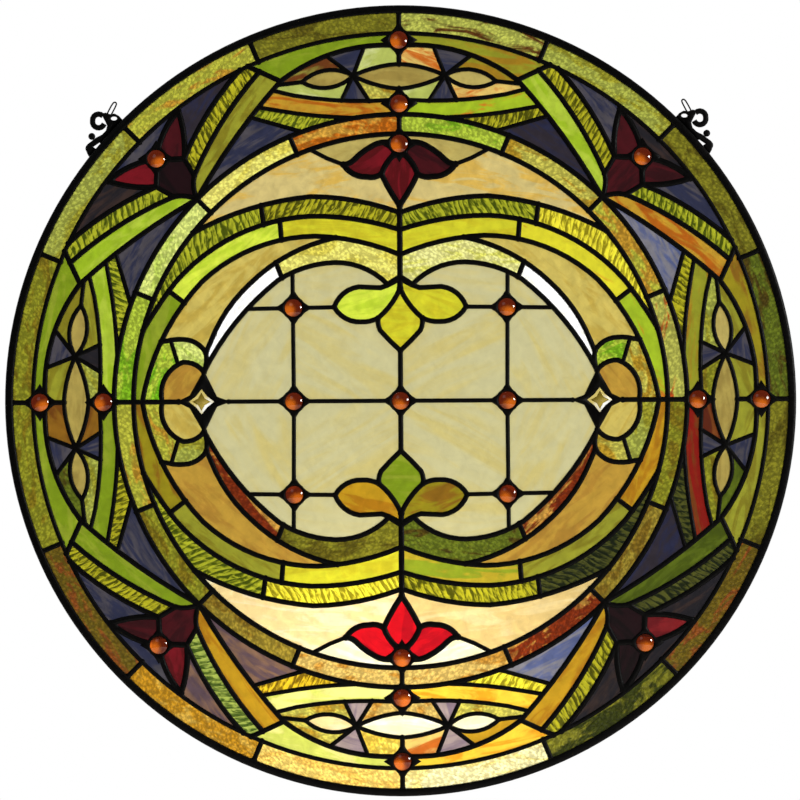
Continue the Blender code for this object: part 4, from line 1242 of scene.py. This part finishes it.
class WINDOW_OT_stage(Operator):
    """Sets up the floor, the lights behind and before the panel, and the camera"""

    bl_idname = "window.stage"
    bl_label = "Stage"

    def execute(self, context):
        scene = context.scene
        scene.view_settings.view_transform = "Standard"
        self.floor()
        self.world(scene)
        behind = (0.0, 0.30, MIDDLE.z - 0.25)
        self.lamp("glow behind", behind, (0, -1, 0), 0.28, 0.135, "#fff4e0")
        over = (-0.7, -1.4, MIDDLE.z + 0.9)
        self.lamp("soft front light", over, (0.4, 0.75, -0.5), 0.8, 0.8, "#ffffff")
        aside = (1.7, -0.95, MIDDLE.z + 0.25)
        self.lamp("small bright light", aside, (-1.7, 0.95, -0.25), 0.5, 15.0, "#ffffff")
        self.camera(scene)
        return {"FINISHED"}

    def floor(self):
        """A round of matt painted board, 150 mm below the panel, which is plain and even."""
        mesh = bmesh.new()
        bmesh.ops.create_circle(mesh, cap_ends=True, segments=96, radius=0.82)
        bmesh.ops.translate(mesh, verts=mesh.verts[:], vec=(0, 0, RIM_LOW.z - 0.15))
        data = bpy.data.meshes.new("studio_floor")
        mesh.to_mesh(data)
        mesh.free()
        matt = {"Base Color": (*linear("#e9e7e2"), 1.0), "Roughness": 0.7}
        board = new_material("pale studio floor", lambda tree: add(tree, "BsdfPrincipled", matt))
        data.materials.append(board)
        floor = bpy.data.objects.new("studio_floor", data)
        bpy.context.scene.collection.objects.link(floor)

    def world(self, scene):
        """White all round to the eye; as a light it is brighter behind the panel than before it."""
        world = bpy.data.worlds.new("white studio")
        scene.world = world
        world.use_nodes = True
        tree = world.node_tree
        tree.nodes.clear()
        white = (1, 1, 1, 1)
        before, behind = 0.06, 1.26
        seen = add(tree, "LightPath", out="Is Camera Ray")
        way = add(tree, "TexCoord", out="Generated")
        depth = add(tree, "SeparateXYZ", {"Vector": way}, "Y")
        rise = (depth, -0.4, 0.5, before, behind)
        strength = add(tree, "MapRange", rise, interpolation_type="SMOOTHSTEP")
        lit = add(tree, "Background", {"Color": white, "Strength": strength})
        shown = add(tree, "Background", {"Color": white, "Strength": 1.0})
        add(tree, "OutputWorld", {"Surface": add(tree, "MixShader", (seen, lit, shown))})

    def lamp(self, name, place, way, wide, watts, colour):
        light = bpy.data.lights.new(name, "AREA")
        light.size = wide
        light.shape = "DISK"
        light.energy = watts
        light.color = linear(colour)
        lamp = bpy.data.objects.new(name, light)
        lamp.location = place
        lamp.rotation_euler = Vector(way).to_track_quat("-Z", "Y").to_euler()
        lamp.visible_camera = False
        bpy.context.scene.collection.objects.link(lamp)

    def camera(self, scene):
        """A long lens straight in front of the panel, turned a third of a degree like the photograph."""
        seen_wide = 0.6173
        data = bpy.data.cameras.new("camera")
        data.lens = 120.0
        data.clip_end = 50
        camera = bpy.data.objects.new("camera", data)
        place = MIDDLE + Vector((-0.0005, -data.lens / data.sensor_width * seen_wide, 0.0006))
        turn = Matrix.Rotation(math.pi / 2, 4, "X") @ Matrix.Rotation(math.radians(-0.3), 4, "Z")
        camera.matrix_world = Matrix.Translation(place) @ turn
        scene.collection.objects.link(camera)
        scene.camera = camera


STEPS = (
    WINDOW_OT_stage,
    WINDOW_OT_lead,
    WINDOW_OT_glass,
    WINDOW_OT_rim,
    WINDOW_OT_jewels,
    WINDOW_OT_diamonds,
    WINDOW_OT_brackets,
    WINDOW_OT_loops,
)


class WINDOW_PT_build(Panel):
    """Lists the steps that build the window, with their sizes and colours"""

    bl_label = "Stained Glass Window"
    bl_idname = "WINDOW_PT_build"
    bl_space_type = "VIEW_3D"
    bl_region_type = "UI"
    bl_category = "Window"

    def draw(self, context):
        for group in (context.scene.window_sizes, context.scene.window_colours):
            for name in group.bl_rna.properties.keys():
                if name not in ("rna_type", "name"):
                    self.layout.prop(group, name)
        for step in STEPS:
            self.layout.operator(step.bl_idname)


CLASSES = (WindowSizes, WindowColours, *STEPS, WINDOW_PT_build)


def register():
    for entry in CLASSES:
        bpy.utils.register_class(entry)
    bpy.types.Scene.window_sizes = PointerProperty(type=WindowSizes)
    bpy.types.Scene.window_colours = PointerProperty(type=WindowColours)


def unregister():
    del bpy.types.Scene.window_colours
    del bpy.types.Scene.window_sizes
    for entry in reversed(CLASSES):
        bpy.utils.unregister_class(entry)


def main():
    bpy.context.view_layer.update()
    register()
    bpy.ops.window.stage()
    bpy.ops.window.lead()
    bpy.ops.window.glass()
    bpy.ops.window.rim()
    bpy.ops.window.jewels()
    bpy.ops.window.diamonds()
    bpy.ops.window.brackets()
    bpy.ops.window.loops()
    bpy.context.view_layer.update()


if __name__ == "__main__":
    main()
